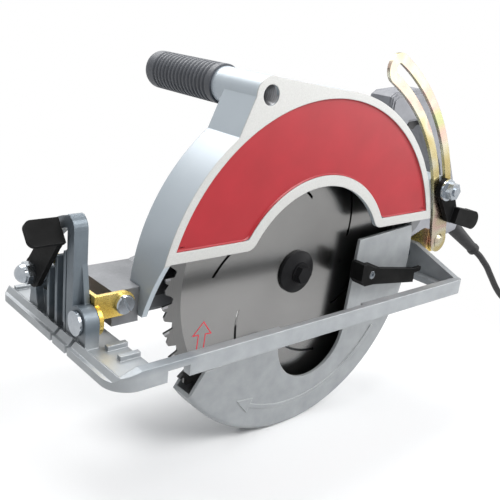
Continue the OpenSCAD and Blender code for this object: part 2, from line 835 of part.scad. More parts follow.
// Gear case: flange, wheel chamber, worm tunnel and the nose that carries the depth pivot
module gear_case() color("darkgray") difference() {
    union() {
        // Collar that the lower guard turns on
        rod_y(collar_wall_r, collar_near, guard_far + flange_t / 2);
        // Flange against the guard's back
        along_y(guard_far, guard_far + flange_t) difference() {
            circle(flange_r);
            translate([-flange_r * 2, -flange_r * 2 - case_r * flange_cut_share]) square(flange_r * [4, 2]);
        }
        rod_y(case_r, guard_far, cover_y);
        for (p = cover_screw_places)
            rod_y(cover_ear, cover_y - cover_screw_l - over, cover_y, p.x, p.y);
        turned_x([[0, worm_case_front], [worm_case_r * tunnel_end_share, worm_case_front],
                  [worm_case_r, worm_case_front + chamber_wall * 2], [worm_case_r, flare_x],
                  [motor_r, motor_front - flange_t], [motor_r, motor_front], [0, motor_front]],
                 drive_y, drive_z);
        for (p = motor_bolt_places)
            rod_x(lug_bolt_r, motor_front - flange_t, motor_front, p.x, p.y);
        // Nose and the arm that carries it
        along_y(guard_far + case_near_gap, nose_far)
            polygon([[-nose_front, -nose_drop], [-nose_front, nose_top], [-nose_rear, nose_top],
                     [-arm_root_x, arm_root_top], [0, arm_root_top], [0, 0], [-arm_root_x, -nose_drop]]);
        difference() {
            along_y(0, guard_far + over) polygon([[-nose_front, -nose_drop], [-nose_front, nose_top],
                                                  [-nose_rear, nose_top], [-nose_rear, -nose_drop]]);
            rod_y(guard_r + gap, -over, guard_far + over * 2);
        }
    }
    // Chambers
    rod_y(chamber_r, chamber_near, cover_y + over);
    rod_x(worm_chamber_r, front_bearing_x + front_bearing_w, motor_front + over, drive_y, drive_z);
    rod_x(front_bearing_r + seat, front_bearing_x, front_bearing_x + front_bearing_w, drive_y, drive_z);
    rod_x(mid_bearing_r + seat, mid_bearing_x, motor_front + over, drive_y, drive_z);
    // Arbor bearing seat and the bore behind it
    rod_y(washer_r + gap * 2, collar_near - over, bearing_near);
    rod_y(arbor_bearing_d / 2 + seat, bearing_near - eps, bearing_far);
    rod_y(arbor_r + gap * 2, bearing_far - eps, chamber_near + over);
    // Depth pivot and guard screws
    rod_y(screw_shank_r + seat, -over, pivot_screw_l + over, -pivot_fore, pivot_z);
    for (a = guard_screw_angles)
        rod_y(guard_screw_r + seat, guard_far - over, ring_gap + guard_screw_l + over,
              guard_screw_circle * cos(a), guard_screw_circle * sin(a));
    for (p = cover_screw_places)
        rod_y(cover_screw_r + seat, cover_y - cover_screw_l, cover_y + over, p.x, p.y);
    rod_z(oil_thread_r + seat, drive_z, drive_z + worm_case_r * 2, oil_x, drive_y);
    for (p = motor_bolt_places)
        rod_x(motor_bolt_r + seat, motor_front - flange_t - over, motor_front + over, p.x, p.y);
    for (p = motor_bolt_places)
        rod_x(motor_bolt_head_r + gap, flare_x, motor_front - flange_t, p.x, p.y);
}

pivot_screw_l = 16;
cover_screw_r = 2;
cover_screw_l = 10;
cover_screw_head_r = 3.6;
cover_screw_head_t = 3;
cover_screw_ring = chamber_r + chamber_wall / 2;
cover_ear = 5;
cover_screw_angles = [25, 155, 205, 335];
cover_screw_places = [for (a = cover_screw_angles) (cover_screw_ring + cover_ear / 2) * [cos(a), sin(a)]];
oil_x = -26;
oil_thread_r = 5;
oil_head_r = 8;
oil_head_t = 4;
motor_bolt_places = [for (k = [0:3])
    [drive_y, drive_z] + (motor_r + over) * [cos(lug_angle + 90 * k), sin(lug_angle + 90 * k)]];

// Round cover of the wheel chamber, with the seat of the rear arbor bearing
module gear_cover() color("darkgray") difference() {
    union() {
        rod_y(case_r, cover_y, cover_y + cover_t);
        rod_y(cover_boss_r, cover_y, cover_boss_far);
        for (p = cover_screw_places)
            rod_y(cover_ear, cover_y, cover_y + cover_t, p.x, p.y);
    }
    rod_y(rear_bearing_r + seat, cover_y - over, spindle_far + fit);
    rod_y(lock_pin_r + fit, cover_y - over, cover_boss_far + over, 0, -lock_r);
    for (p = cover_screw_places)
        rod_y(cover_screw_r + seat, cover_y - over, cover_y + cover_t + over, p.x, p.y);
}

lock_pin_r = 1.9;

module gear_cover_screws() color("dimgray")
    for (p = cover_screw_places)
        translate([p.x, 0, p.y]) difference() {
            turned_y([[0, cover_y - cover_screw_l + over], [cover_screw_r, cover_y - cover_screw_l + over],
                      [cover_screw_r, cover_y + cover_t], [cover_screw_head_r, cover_y + cover_t],
                      [cover_screw_head_r, cover_y + cover_t + cover_screw_head_t],
                      [0, cover_y + cover_t + cover_screw_head_t]]);
            along_y(cover_y + cover_t + cover_screw_head_t / 2, cover_y + cover_t + cover_screw_head_t * 2)
                hexagon(cover_screw_head_r);
        }

// Oil filler plug on top of the worm tunnel
module oil_plug() color("dimgray") translate([oil_x, drive_y, 0]) {
    rod_z(oil_thread_r, drive_z + worm_tip_r + gap * 4, drive_z + worm_case_r, 0, 0);
    along_z(drive_z + worm_case_r, drive_z + worm_case_r + oil_head_t) hexagon(oil_head_r * 2);
}

// Ring that keeps the lower guard on the collar
retainer_t = 1;
retainer_w = 3;
retainer_r = hub_bore_r + retainer_w;
module guard_retainer() color("dimgray")
    ring_y(retainer_r, washer_r + tip_clear, collar_near - retainer_t, collar_near);

// Ball bearings, as rings with a groove between the races
module bearing_y(r, bore, y0, y1) {
    mid = (r + bore) / 2;
    race = (r - bore) / 8;
    face = (y1 - y0) / 8;
    turned_y([[bore, y0], [mid - race, y0], [mid - race, y0 + face], [mid + race, y0 + face], [mid + race,
        y0],
              [r, y0], [r, y1], [mid + race, y1], [mid + race, y1 - face], [mid - race, y1 - face],
              [mid - race, y1], [bore, y1]]);
}
module bearing_x(r, bore, x0, x1)
    translate([x0, drive_y, drive_z]) rotate([0, 0, -90]) bearing_y(r, bore, 0, x1 - x0);

module arbor_bearing() color("lightgray")
    bearing_y(arbor_bearing_d / 2, arbor_r + fit, bearing_near, bearing_far);
module rear_arbor_bearing() color("lightgray")
    bearing_y(rear_bearing_r, journal_r + fit, rear_bearing_near, spindle_far);
module worm_bearings() color("lightgray") {
    bearing_x(front_bearing_r, shaft_r + fit, front_bearing_x, front_bearing_x + front_bearing_w);
    bearing_x(mid_bearing_r, shaft_r + fit, mid_bearing_x, mid_bearing_x + mid_bearing_w);
    bearing_x(motor_bearing_r, shaft_r + fit, motor_bearing_x, motor_bearing_x + motor_bearing_w);
}

// Motor housing: a ribbed barrel with air slots and four bolt lugs at its front
module motor_housing() color("lightgray") difference() {
    union() {
        rod_x(motor_r, motor_front, motor_rear, drive_y, drive_z);
        rod_y(holder_r + motor_wall, drive_y - motor_r, drive_y + motor_r, brush_x, drive_z);
        for (p = motor_bolt_places)
            rod_x(lug_bolt_r, motor_front, motor_front + lug_l, p.x, p.y);
    }
    rod_x(motor_in_r, motor_front - over, motor_rear + over, drive_y, drive_z);
    // Air slots over the fan
    for (k = [0:motor_vents - 1])
        translate([0, drive_y, drive_z]) rotate([360 * (k + 0.5) / motor_vents, 0, 0])
            box([fan_x, -vent_slot_w / 4, motor_in_r - over], [fan_x + fan_w, vent_slot_w / 4,
                motor_r + over]);
    rod_y(holder_r + seat, drive_y - motor_r - over, drive_y + motor_r + over, brush_x, drive_z);
    for (p = motor_bolt_places)
        rod_x(motor_bolt_r + seat, motor_front - over, motor_front + lug_l - over, p.x, p.y);
}

// Cap over the brush end, with the rear bearing's seat and long air slots
module motor_end_cap() color("darkgray") difference() {
    turned_x([[0, motor_rear], [motor_r, motor_rear], [motor_r, end_rear - motor_wall * 2],
              [motor_r - motor_wall * 2, end_rear], [0, end_rear]], drive_y, drive_z);
    difference() {
        rod_x(motor_in_r, motor_rear - over, motor_bearing_x, drive_y, drive_z);
        rod_x(motor_bearing_r + motor_wall, motor_bearing_x - motor_wall, motor_bearing_x + over, drive_y,
            drive_z);
    }
    rod_x(motor_bearing_r + seat, motor_bearing_x - motor_wall - over, motor_bearing_x + motor_bearing_w,
          drive_y, drive_z);
    for (k = [0:motor_vents - 1])
        translate([0, drive_y, drive_z]) rotate([360 * (k + 0.5) / motor_vents, 0, 0])
            box([motor_rear + end_slot_in, -vent_slot_w / 2, motor_in_r - over],
                [motor_bearing_x - end_slot_in, vent_slot_w / 2, motor_r + over]);
}

// Cap screws that clamp the housing to the gear case
module motor_screws() color("dimgray")
    for (p = motor_bolt_places)
        translate([motor_front - flange_t, p.x, p.y]) difference() {
            union() {
                rod_x(motor_bolt_r, 0, flange_t + lug_l - over * 2, 0, 0);
                rod_x(motor_bolt_head_r, -motor_bolt_head_t, 0, 0, 0);
            }
            along_x(-motor_bolt_head_t - over, -motor_bolt_head_t / 2) hexagon(motor_bolt_head_r);
        }

// Laminated field with its two wound coils
module field_core() color("gray") difference() {
    rod_x(field_out_r, core_x, core_x + core_l, drive_y, drive_z);
    rod_x(field_in_r, core_x - over, core_x + core_l + over, drive_y, drive_z);
    for (s = [-1, 1])
        along_x(core_x - over, core_x + core_l + over) translate([drive_y, drive_z])
            strip(field_in_r - over, coil_out_r + seat, 90 * s - coil_half_angle, 90 * s + coil_half_angle);
}
coil_out_r = 34;
coil_half_angle = 38;

module field_coils() color("chocolate") for (s = [-1, 1])
    along_x(core_x - coil_end_l, core_x + core_l + coil_end_l) translate([drive_y, drive_z])
        strip(field_in_r + seat, coil_out_r, 90 * s - coil_half_angle + over,
            90 * s + coil_half_angle - over);

module at_brush(s) translate([brush_x, drive_y, drive_z]) mirror([0, s, 0]) children();

// Brush holders, carbon brushes and the screwed caps that hold them
module brush_holders() color("goldenrod") for (s = [0, 1]) at_brush(s)
    difference() {
        rod_y(holder_r, commutator_r + holder_clear, motor_r);
        box([-brush_half - seat, 0, -brush_half - seat], [brush_half + seat, motor_r + over,
            brush_half + seat]);
    }
module carbon_brushes() color("dimgray") for (s = [0, 1]) at_brush(s)
    difference() {
        box([-brush_half, commutator_r / 2, -brush_half], [brush_half, commutator_r + brush_l, brush_half]);
        rod_x(commutator_r + gap, -brush_half - over, brush_half + over, 0, 0);
    }
module brush_caps() color("black") for (s = [0, 1]) at_brush(s)
    difference() {
        rod_y(cap_r, motor_r, motor_r + cap_t);
        box([-cap_r, motor_r + cap_t / 2, -cap_t / 4], [cap_r, motor_r + cap_t + over, cap_t / 4]);
    }

// Rear handle: two moulded halves round the trigger and the switch
module handle_outline(inset) {
    shrink = inset / handle_rise;
    middle = handle_middle_share * [1, 1];
    difference() {
        polygon(spread([for (s = handle_outer_shares) s + (middle - s) * shrink * 2], handle_front,
            handle_span,
                       handle_low, handle_rise));
        polygon(spread([for (s = hand_hole_shares) s + (s - middle) * shrink * 2], handle_front,
            handle_span,
                       handle_low, handle_rise));
    }
}
edge_shares = [[1, 0], [0.55, 0.12], [0.25, 0.4], [0, 1]];
module handle_half(y0, y1, outer) difference() {
    union() {
        for (s = edge_shares)
            along_y(outer < handle_y ? y0 + handle_edge * s.x : y0,
                    outer < handle_y ? y1 : y1 - handle_edge * s.x)
                handle_outline(handle_edge * s.y);
    }
    rod_x(motor_r + seat, handle_front - over, end_rear, drive_y, drive_z);
    box([trigger_x0 - gap, handle_y - trigger_half - gap, trigger_low - trigger_dish_r],
        [trigger_x1 + gap, handle_y + trigger_half + gap, trigger_well]);
    box([trigger_x0 - trigger_step - gap, handle_y - trigger_half - gap, trigger_step_z - gap],
        [trigger_x1 + trigger_step + gap, handle_y + trigger_half + gap, trigger_well]);
    box([switch_x0 - seat, handle_y - switch_half - seat, switch_z0 - seat],
        [switch_x1 + seat, handle_y + switch_half + seat, switch_z1 + seat]);
    for (p = handle_screw_places)
        rod_y(handle_screw_r + seat, handle_y - handle_screw_l, handle_far + over, p.x, p.y);
    for (p = handle_screw_places)
        rod_y(handle_screw_head_r + gap, handle_far - handle_screw_sink, handle_far + over, p.x, p.y);
    translate(relief_root + origin) rotate(relief_turn) cylinder(r = relief_r + seat, h = relief_l);
}
module handle_near_half() color("gray") handle_half(handle_near, handle_y, handle_near);
module handle_far_half() color("gray") handle_half(handle_y, handle_far, handle_far);

handle_screw_r = 2;
handle_screw_l = 10;
handle_screw_head_r = 3.8;
handle_screw_head_t = 2.6;
handle_screw_sink = 5;
handle_screw_shares = [[0.09, 0.66], [0.46, 0.84], [0.745, 0.42], [0.88, 0.09], [0.46, 0.1]];
handle_screw_places = spread(handle_screw_shares, handle_front, handle_span, handle_low, handle_rise);

module handle_screws() color("dimgray") for (p = handle_screw_places) translate([p.x, 0, p.y])
    difference() {
    turned_y([[0, handle_y - handle_screw_l + over], [handle_screw_r, handle_y - handle_screw_l + over],
              [handle_screw_r, handle_far - handle_screw_sink],
              [handle_screw_head_r, handle_far - handle_screw_sink],
              [handle_screw_head_r, handle_far - handle_screw_sink + handle_screw_head_t],
              [0, handle_far - handle_screw_sink + handle_screw_head_t]]);
    along_y(handle_far - handle_screw_sink + handle_screw_head_t / 2, handle_far)
        hexagon(handle_screw_head_r);
}

// Switch in the handle, worked by the trigger's upper end
module switch_body() color("black")
    box([switch_x0, handle_y - switch_half, switch_z0], [switch_x1, handle_y + switch_half, switch_z1]);

// Trigger: a finger-shaped key that slides up into the handle
module trigger() color("black") difference() {
    union() {
        box([trigger_x0, handle_y - trigger_half, trigger_low], [trigger_x1, handle_y + trigger_half,
            trigger_high]);
        box([trigger_x0 - trigger_step, handle_y - trigger_half, trigger_step_z],
            [trigger_x1 + trigger_step, handle_y + trigger_half, trigger_high]);
    }
    rod_y(trigger_dish_r, handle_y - trigger_half - over, handle_y + trigger_half + over, trigger_x1,
          trigger_low - trigger_dish_r / 2);
}
trigger_dish_r = 9;

// Side handle: a steel stud screwed into the guard's boss and a ringed rubber grip
module side_handle_stud() color("dimgray")
    rod_y(stud_r, stud_near, boss_far + grip_l * stud_share, boss_x, boss_z);
stud_share = 0.7;
grip_end_r = 7;
groove_shares = [0.22, 0.4, 0.62];
module side_handle_grip() color("black") difference() {
    grip_r = grip_d / 2;
    step = (grip_l - grip_collar * 2 - grip_end_r) / grip_grooves;
    translate([boss_x, 0, boss_z]) turned_y(concat([[0, boss_far], [grip_r, boss_far]],
        [for (k = [0:grip_grooves - 1]) let (y = boss_far + grip_collar + step * k)
            each [[grip_r, y], [grip_r - groove_depth, y + step * groove_shares[0]],
                  [grip_r - groove_depth, y + step * groove_shares[1]], [grip_r,
                      y + step * groove_shares[2]]]],
        [for (a = [0:arc_step:90]) [grip_r - grip_end_r + grip_end_r * cos(a),
                              grip_axis_far - grip_end_r + grip_end_r * sin(a)]],
        [[0, grip_axis_far]]));
    rod_y(stud_r + seat, boss_far - over, boss_far + grip_l * stud_share, boss_x, boss_z);
}
grip_collar = 6;

// Bolt of the depth lock, held in the guard's lug
depth_head_r = 7.5;
depth_head_t = 4.5;
module depth_bolt() color("lightgray") translate([depth_bolt_x, 0, depth_bolt_z]) {
    rod_y(depth_bolt_r, -depth_stack, lug_far);
    rod_y(depth_head_r, lug_far, lug_far + depth_head_t);
}
depth_lever_far = arm_near + depth_lever_gap;
depth_lever_near = depth_lever_far + depth_hub_t;
depth_washer_near = depth_lever_near + gap + depth_washer_t;
thread_out = 1.5;
depth_stack = depth_washer_near + depth_nut_h + thread_out;

// Shoulder screw that the front bracket swings on
module depth_pivot_screw() color("lightgray") translate([-pivot_fore, 0, pivot_z]) difference() {
    turned_y([[0, -strap_t - gap - screw_head_t], [screw_head_r - screw_chamfer,
        -strap_t - gap - screw_head_t],
              [screw_head_r, -strap_t - gap - screw_head_t + screw_chamfer], [screw_head_r, -strap_t - gap],
              [screw_shank_r, -strap_t - gap], [screw_shank_r, pivot_screw_l], [0, pivot_screw_l]]);
    rotate([0, slot_lean, 0])
        box([-screw_head_r - over, -strap_t - gap - screw_head_t - over, -screw_slot_w / 2],
        [screw_head_r + over, -strap_t - gap - screw_head_t + screw_slot_w, screw_slot_w / 2]);
}
screw_head_t = 3.4;
screw_chamfer = 0.8;
screw_slot_w = 1.8;
slot_lean = 62;

// Flat spiral spring that closes the lower guard
module guard_return_spring() color("dimgray") {
    y = lower_far + spring_lift + spring_wire / 2;
    end = spring_r + spring_pitch * spring_turns;
    tube(concat([for (i = [0:spring_turns * spring_rings])
        let (a = 360 * i / spring_rings, r = spring_r + spring_pitch * i / spring_rings)
        [r * cos(a), y, r * sin(a)]], [[end, ring_gap, spring_wire * 2]]), spring_wire / 2, coil_sides);
}

// Cord: strain relief, free lead, coil, tie and plug
relief_axis = lead_points[0] - relief_root;
relief_l = norm(relief_axis);
relief_turn = [0, acos(relief_axis.z / relief_l), atan2(relief_axis.y, relief_axis.x)];
relief_root_share = 0.22;
relief_collar_shares = [0.93, 0.95];

module strain_relief() color("black") translate(relief_root) rotate(relief_turn)
    rotate_extrude() polygon([[0, 0], [relief_r, 0], [relief_r, relief_l * relief_root_share],
        [relief_end_r, relief_l * relief_collar_shares[0]],
        [relief_end_r + relief_rib, relief_l * relief_collar_shares[1]],
        [relief_end_r + relief_rib, relief_l], [0, relief_l]]);
relief_rib = 0.9;

module cord_lead() color("black") tube(lead_points, cord_r, lead_sides);

// The coil runs in on the floor and out again on the layer above it
coil_reverse = 0.5;
coil_in = (coil_turns - coil_reverse) / 2;
function ease(s) = s * s * (3 - 2 * s);
function coil_radius(t) =
    let (s = (t - coil_in) / coil_reverse)
    s < 0 ? coil_r - coil_pitch * t
    : s > 1 ? coil_r - coil_pitch * (coil_turns - t)
    : coil_r - coil_pitch * (coil_in + coil_reverse * (s - s * s));
function coil_height(t) =
    coil_lift + coil_pitch * ease(min(1, max(0, (t - coil_in) / coil_reverse)));
function coil_point(t) =
    let (a = 90 - 360 * t, r = coil_radius(t))
    [coil_centre.x + r * cos(a), coil_centre.y + r * sin(a), coil_height(t)];
coil_count = coil_turns * coil_rings;
coil_spine = [for (i = [0:coil_count]) coil_point(i / coil_rings)];
coil_last = coil_spine[len(coil_spine) - 1];
coil_points = concat([[coil_start.x, coil_start.y, coil_lift]], coil_spine,
                     [coil_last - [0, cord_d, 0], coil_last - [0, plug_run, 0]]);
coil_gap = min([for (i = [0:2:coil_count], k = [i + coil_rings / 2:coil_count])
    norm(coil_spine[i] - coil_spine[k])]) - cord_d;
module cord_coil() color("black") {
    echo(coil_self_gap = coil_gap);
    tube(coil_points, cord_r, coil_sides);
}

// A hook and loop strap round the coil's turns
tie_in = coil_r - coil_pitch * coil_in - cord_r - coil_pitch / 4;
tie_out = coil_r + cord_r + gap;
tie_top = coil_lift + coil_pitch + cord_r + gap;
tie_angle = 200;
module cord_tie() color("dimgray") translate([coil_centre.x, coil_centre.y, 0]) rotate([0, 0, tie_angle])
    difference() {
        box([tie_in - tie_t, -tie_w / 2, 0], [tie_out + tie_t, tie_w / 2, tie_top + tie_t]);
        box([tie_in, -tie_w, tie_t], [tie_out, tie_w, tie_top]);
    }

// Three-pin plug, lying with its lead level
plug_back = coil_last.y - plug_run;
plug_z = coil_last.z;
module mains_plug() color("black") translate([coil_last.x, plug_back, plug_z]) {
    rotate([90, 0, 0]) rotate_extrude()
        polygon([[0, 0], [cord_r + plug_collar, 0], [cord_r + plug_collar * 2, plug_neck_l], [0,
            plug_neck_l]]);
    difference() {
        rotate([90, 0, 0]) translate([0, 0, plug_neck_l]) linear_extrude(plug_l - plug_neck_l)
            square([plug_w, plug_h], true);
        for (s = [-1, 1])
            rod_z(plug_grip_r, -plug_h, plug_h, s * (plug_w / 2 + plug_grip_r - plug_grip_in),
                -plug_grip_y);
    }
}
plug_collar = 2.4;
plug_grip_r = 12;
plug_grip_in = 2.5;
module plug_pins() color("gold") translate([coil_last.x, plug_back - plug_l, plug_z]) {
    for (s = [-1, 1])
        box([(s * pin_step - pin_t) / 2, -pin_l, earth_r - pin_w / 2],
            [(s * pin_step + pin_t) / 2, 0, earth_r + pin_w / 2]);
    rod_y(earth_r, -pin_l, 0, 0, -pin_w);
}

// Armature: shaft, wound core, commutator, fan and worm turn together
module armature_shaft() color("lightgray") rod_x(shaft_r, shaft_front, shaft_rear, drive_y, drive_z);

core_slots = 12;
winding_share = 0.82;
slot_w = 4;
slot_depth = 9;
module armature_core() color("peru") translate([0, drive_y, drive_z]) difference() {
    union() {
        rod_x(core_r, core_x, core_x + core_l, 0, 0);
        rod_x(core_r * winding_share, core_x - coil_end_l, core_x + core_l + coil_end_l, 0, 0);
    }
    rod_x(shaft_r + seat, core_x - coil_end_l - over, core_x + core_l + coil_end_l + over, 0, 0);
    for (k = [0:core_slots - 1])
        rotate([360 * k / core_slots, 0, 0])
            box([core_x - coil_end_l - over, -slot_w / 4, core_r - slot_depth / 3],
                [core_x + core_l + coil_end_l + over, slot_w / 4, core_r + over]);
}

commutator_slit = 0.7;
module commutator() color("orange") translate([0, drive_y, drive_z]) difference() {
    rod_x(commutator_r, commutator_x, commutator_x + commutator_l, 0, 0);
    rod_x(shaft_r + seat, commutator_x - over, commutator_x + commutator_l + over, 0, 0);
    for (k = [0:commutator_bars - 1])
        rotate([360 * (k + 0.5) / commutator_bars, 0, 0])
            box([commutator_x - over, -commutator_slit / 2, commutator_r - commutator_slit * 2],
                [commutator_x + commutator_l + over, commutator_slit / 2, commutator_r + over]);
}

module cooling_fan() color("gray") translate([0, drive_y, drive_z]) difference() {
    union() {
        rod_x(hub_fan_r, fan_x, fan_x + fan_w, 0, 0);
        rod_x(fan_r, fan_x + fan_w - fan_blade_t, fan_x + fan_w, 0, 0);
        for (k = [0:fan_blades - 1])
            rotate([360 * k / fan_blades, 0, 0])
                box([fan_x, -fan_blade_t / 2, hub_fan_r - over], [fan_x + fan_w, fan_blade_t / 2,
                    fan_r - over]);
    }
    rod_x(shaft_r + seat, fan_x - over, fan_x + fan_w + over, 0, 0);
}

// Tooth outline of a worm or wheel in its own round section
module teeth(count, root, pitch, tip, flank, phase) polygon([for (k = [0:count - 1])
    let (a = phase + 360 * k / count)
    each [root * [cos(a - flank[0]), sin(a - flank[0])], pitch * [cos(a - flank[1]), sin(a - flank[1])],
          tip * [cos(a - flank[2]), sin(a - flank[2])], tip * [cos(a + flank[2]), sin(a + flank[2])],
          pitch * [cos(a + flank[1]), sin(a + flank[1])], root * [cos(a + flank[0]), sin(a + flank[0])]]]);

// The worm's section at its middle has a tooth pointing down, into a gap of the wheel
worm_slices = 72;
wheel_slices = 6;
worm_sides = 18;
wheel_sides = 90;
worm_turn = 360 * worm_l / worm_lead;
module worm() color("lightgray") translate([0, drive_y, drive_z]) difference() {
    translate([-worm_l / 2, 0, 0]) rotate([0, 90, 0])
        linear_extrude(worm_l, twist = -worm_turn, slices = worm_slices, segments = worm_sides)
        teeth(worm_starts, worm_root_r, worm_pitch_r, worm_tip_r, worm_flank, -worm_turn / 2);
    rod_x(shaft_r + seat, -worm_l / 2 - over, worm_l / 2 + over, 0, 0);
}

wheel_turn = wheel_w * tan(lead_angle) / wheel_pitch_r * 180 / PI;
module worm_wheel() color("goldenrod") difference() {
    translate([0, drive_y - wheel_w / 2, 0]) rotate([-90, 0, 0])
        linear_extrude(wheel_w, twist = -wheel_turn, slices = wheel_slices, segments = wheel_sides)
            teeth(wheel_teeth, wheel_root_r, wheel_pitch_r, wheel_tip_r, wheel_flank,
                  -90 + 180 / wheel_teeth - wheel_turn / 2);
    rod_y(spindle_r + seat, drive_y - wheel_w, drive_y + wheel_w);
    for (k = [0:lock_holes - 1])
        rod_y(lock_hole_r, drive_y, drive_y + wheel_w, lock_r * cos(90 * k), lock_r * sin(90 * k));
}

// Arbor: stepped shaft with a thread for the blade bolt
module arbor() color("lightgray") difference() {
    turned_y([[0, -blade_half], [arbor_r, -blade_half], [arbor_r, chamber_near], [spindle_r, chamber_near],
              [spindle_r, rear_bearing_near - over], [journal_r, rear_bearing_near - over],
              [journal_r, spindle_far], [0, spindle_far]]);
    rod_y(bolt_thread_d / 2 + seat, -blade_half - over, bolt_thread_l);
}

module inner_washer() color("dimgray") ring_y(washer_r, arbor_r + seat, blade_half, inner_washer_far);

// Blade: plate with hooked teeth, limiter shoulders, gullets and curved slots
tooth_shares = [[-0.23, 0], [-0.05, 0.1], [0, 1], [0.17, 0.85], [0.22, 0.56], [0.40, 0.84], [0.56, 0.76],
                [0.70, 0.1]];
function tooth_r(s) = gullet_r + gullet_depth * min(s, 1);
module blade_outline() polygon([for (k = [0:blade_teeth - 1]) let (a = tooth_phase + tooth_pitch * k)
    each [for (s = tooth_shares) let (b = a + s.x * tooth_pitch, r = tooth_r(s.y)) r * [cos(b), sin(b)]]]);
vent_sweep = 32;
vent_phase = 22;
vent_steps = 12;
module vent() {
    line = [for (i = [0:vent_steps]) let (s = i / vent_steps, a = vent_sweep * s,
        r = vent_r + vent_reach * s)
        [r, a]];
    polygon(concat([for (p = line) (p[0] + vent_w / 2) * [cos(p[1]), sin(p[1])]],
                   [for (i = [vent_steps:-1:0]) (line[i][0] - vent_w / 2) * [cos(line[i][1]),
                       sin(line[i][1])]]));
}
module blade() color("lightsteelblue") difference() {
    along_y(-blade_half, blade_half) blade_outline();
    rod_y(arbor_r + seat, -blade_t, blade_t);
    for (k = [0:vent_count - 1])
        along_y(-blade_t, blade_t) rotate(vent_phase + 360 * k / vent_count) vent();
}

// Outer washer, dished on its near face, and the hexagon bolt
module outer_washer() color("black") turned_y([[bolt_thread_d / 2 + seat, -blade_half],
    [washer_r, -blade_half], [washer_r, -blade_half - washer_t * washer_shares[0]],
    [dish_outer_r, -blade_half - washer_t * washer_shares[1]], [dish_inner_r, -blade_half - washer_t],
    [bolt_thread_d / 2 + seat, -blade_half - washer_t]]);
module arbor_bolt() color("dimgray") {
    top = blade_half + washer_t;
    rod_y(bolt_thread_d / 2, -top, bolt_thread_l - over);
    along_y(-top - bolt_head_h, -top) hexagon(bolt_af);
    rod_y(bolt_flange_r, -top - bolt_flange_t, -top);
}

// Lower guard: near plate with a round notch, rim, back plate and hub
module lower_sector(r) intersection() {
    circle(r, $fn = fine_fn);
    polygon(lower_r * [toe_shares, toe_run_shares, [toe_run_shares.x, -beyond_share], [beyond_share,
        -beyond_share],
                       [beyond_share, heel_rim_shares.y], heel_shares, [0, 0]]);
}
module lower_guard() color("silver") difference() {
    union() {
        // Near plate
        along_y(-lower_near, lower_plate_t - lower_near) intersection() {
            circle(lower_r - lower_edge_r, $fn = fine_fn);
            difference() {
                polygon(concat(lower_r * [toe_shares, toe_run_shares, [toe_run_shares.x, -beyond_share],
                                          [beyond_share, -beyond_share],
                                          [beyond_share, heel_rim_shares.y], heel_shares],
                               [[notch_x + notch_r, notch_z], [notch_x - notch_r, notch_z]]));
                translate([notch_x, notch_z]) circle(notch_r);
            }
        }
        // Rim with a rounded near edge
        intersection() {
            turned_y(concat([for (a = [0:arc_step:90]) [lower_r - lower_edge_r + lower_edge_r * sin(a),
                                                  -lower_near + lower_edge_r - lower_edge_r * cos(a)]],
                            [[lower_r, lower_far], [lower_in_r, lower_far],
                             [lower_in_r, lower_plate_t - lower_near],
                             [lower_r - lower_edge_r - eps, lower_plate_t - lower_near]]));
            along_y(-lower_near - over, lower_far + over) lower_sector(lower_r + over);
        }
        // Back plate and hub
        along_y(lower_far - lower_back_t, lower_far) lower_sector(lower_r - eps);
        rod_y(hub_r, lower_far - lower_back_t, hub_far);
        // Raised arrow for the blade's direction
        along_y(-lower_near - arrow_h, -lower_near) {
            strip(arrow_r - arrow_w / 2, arrow_r + arrow_w / 2, arrow_neck, arrow_tail);
            polygon([for (t = [[0, arrow_tip], [1, arrow_neck], [-1, arrow_neck]])
                (arrow_r + arrow_w * 2 * t[0]) * [cos(t[1]), sin(t[1])]]);
        }
    }
    rod_y(hub_bore_r, lower_far - lower_back_t - over, hub_far + over);
    rod_y(lever_shank_r + seat, -lower_near - over, over - lower_near + lower_plate_t,
          lever_screw_x, lever_screw_z);
}

// Lift lever: a block on the near plate and a flat bar with a finger tab
lever_screw_x = 66;
lever_screw_z = -5;
module lift_lever() color("black") difference() {
    union() {
        along_y(-lever_near, -lower_near) polygon([[lever_x0, lever_block_z0 + lever_rise],
            [lever_x0 + lever_rise, lever_block_z0], [lever_x1, lever_block_z0],
            [lever_x1, lever_block_z1 - lever_rise], [lever_x1 - lever_rise, lever_block_z1 - lever_rise],
            [lever_x0 + lever_rise, lever_block_z1], [lever_x0, lever_block_z1]]);
        along_y(-lever_near, lever_t - lever_near)
            polygon([[lever_x1 - lever_rise, lever_block_z1 - lever_rise],
            [lever_tip_x, lever_tip_z], [lever_tip_x, lever_tip_z - lever_w], [lever_x1 - lever_rise,
                lever_block_z0]]);
        // Finger tab, bent rearwards and up to the near side
        along_z(lever_tip_z - lever_t, lever_tip_z)
            polygon([[lever_tip_x - tab_w, -lever_near], [lever_tip_x, -lever_near],
                     [lever_tip_x + tab_l, tab_bend - lever_near],
                     [lever_tip_x + tab_l, tab_bend + tab_t - lever_near], [lever_tip_x,
                         lever_t - lever_near],
                     [lever_tip_x - tab_w, lever_t - lever_near]]);
    }
    rod_y(lever_shank_r + seat, -lever_near - over, over - lower_near, lever_screw_x, lever_screw_z);
    rod_y(lever_screw_r + gap, -lever_near - over, lever_head_t - lever_near, lever_screw_x, lever_screw_z);
}
module lift_lever_screw() color("dimgray") translate([lever_screw_x, 0, lever_screw_z]) difference() {
    union() {
        rod_y(lever_screw_r, -lever_near, lever_head_t - lever_near);
        rod_y(lever_shank_r, -lever_near, lower_plate_t - lower_near);
    }
    along_y(-lever_near - over, lever_head_t / 2 - lever_near) hexagon(lever_screw_r);
}

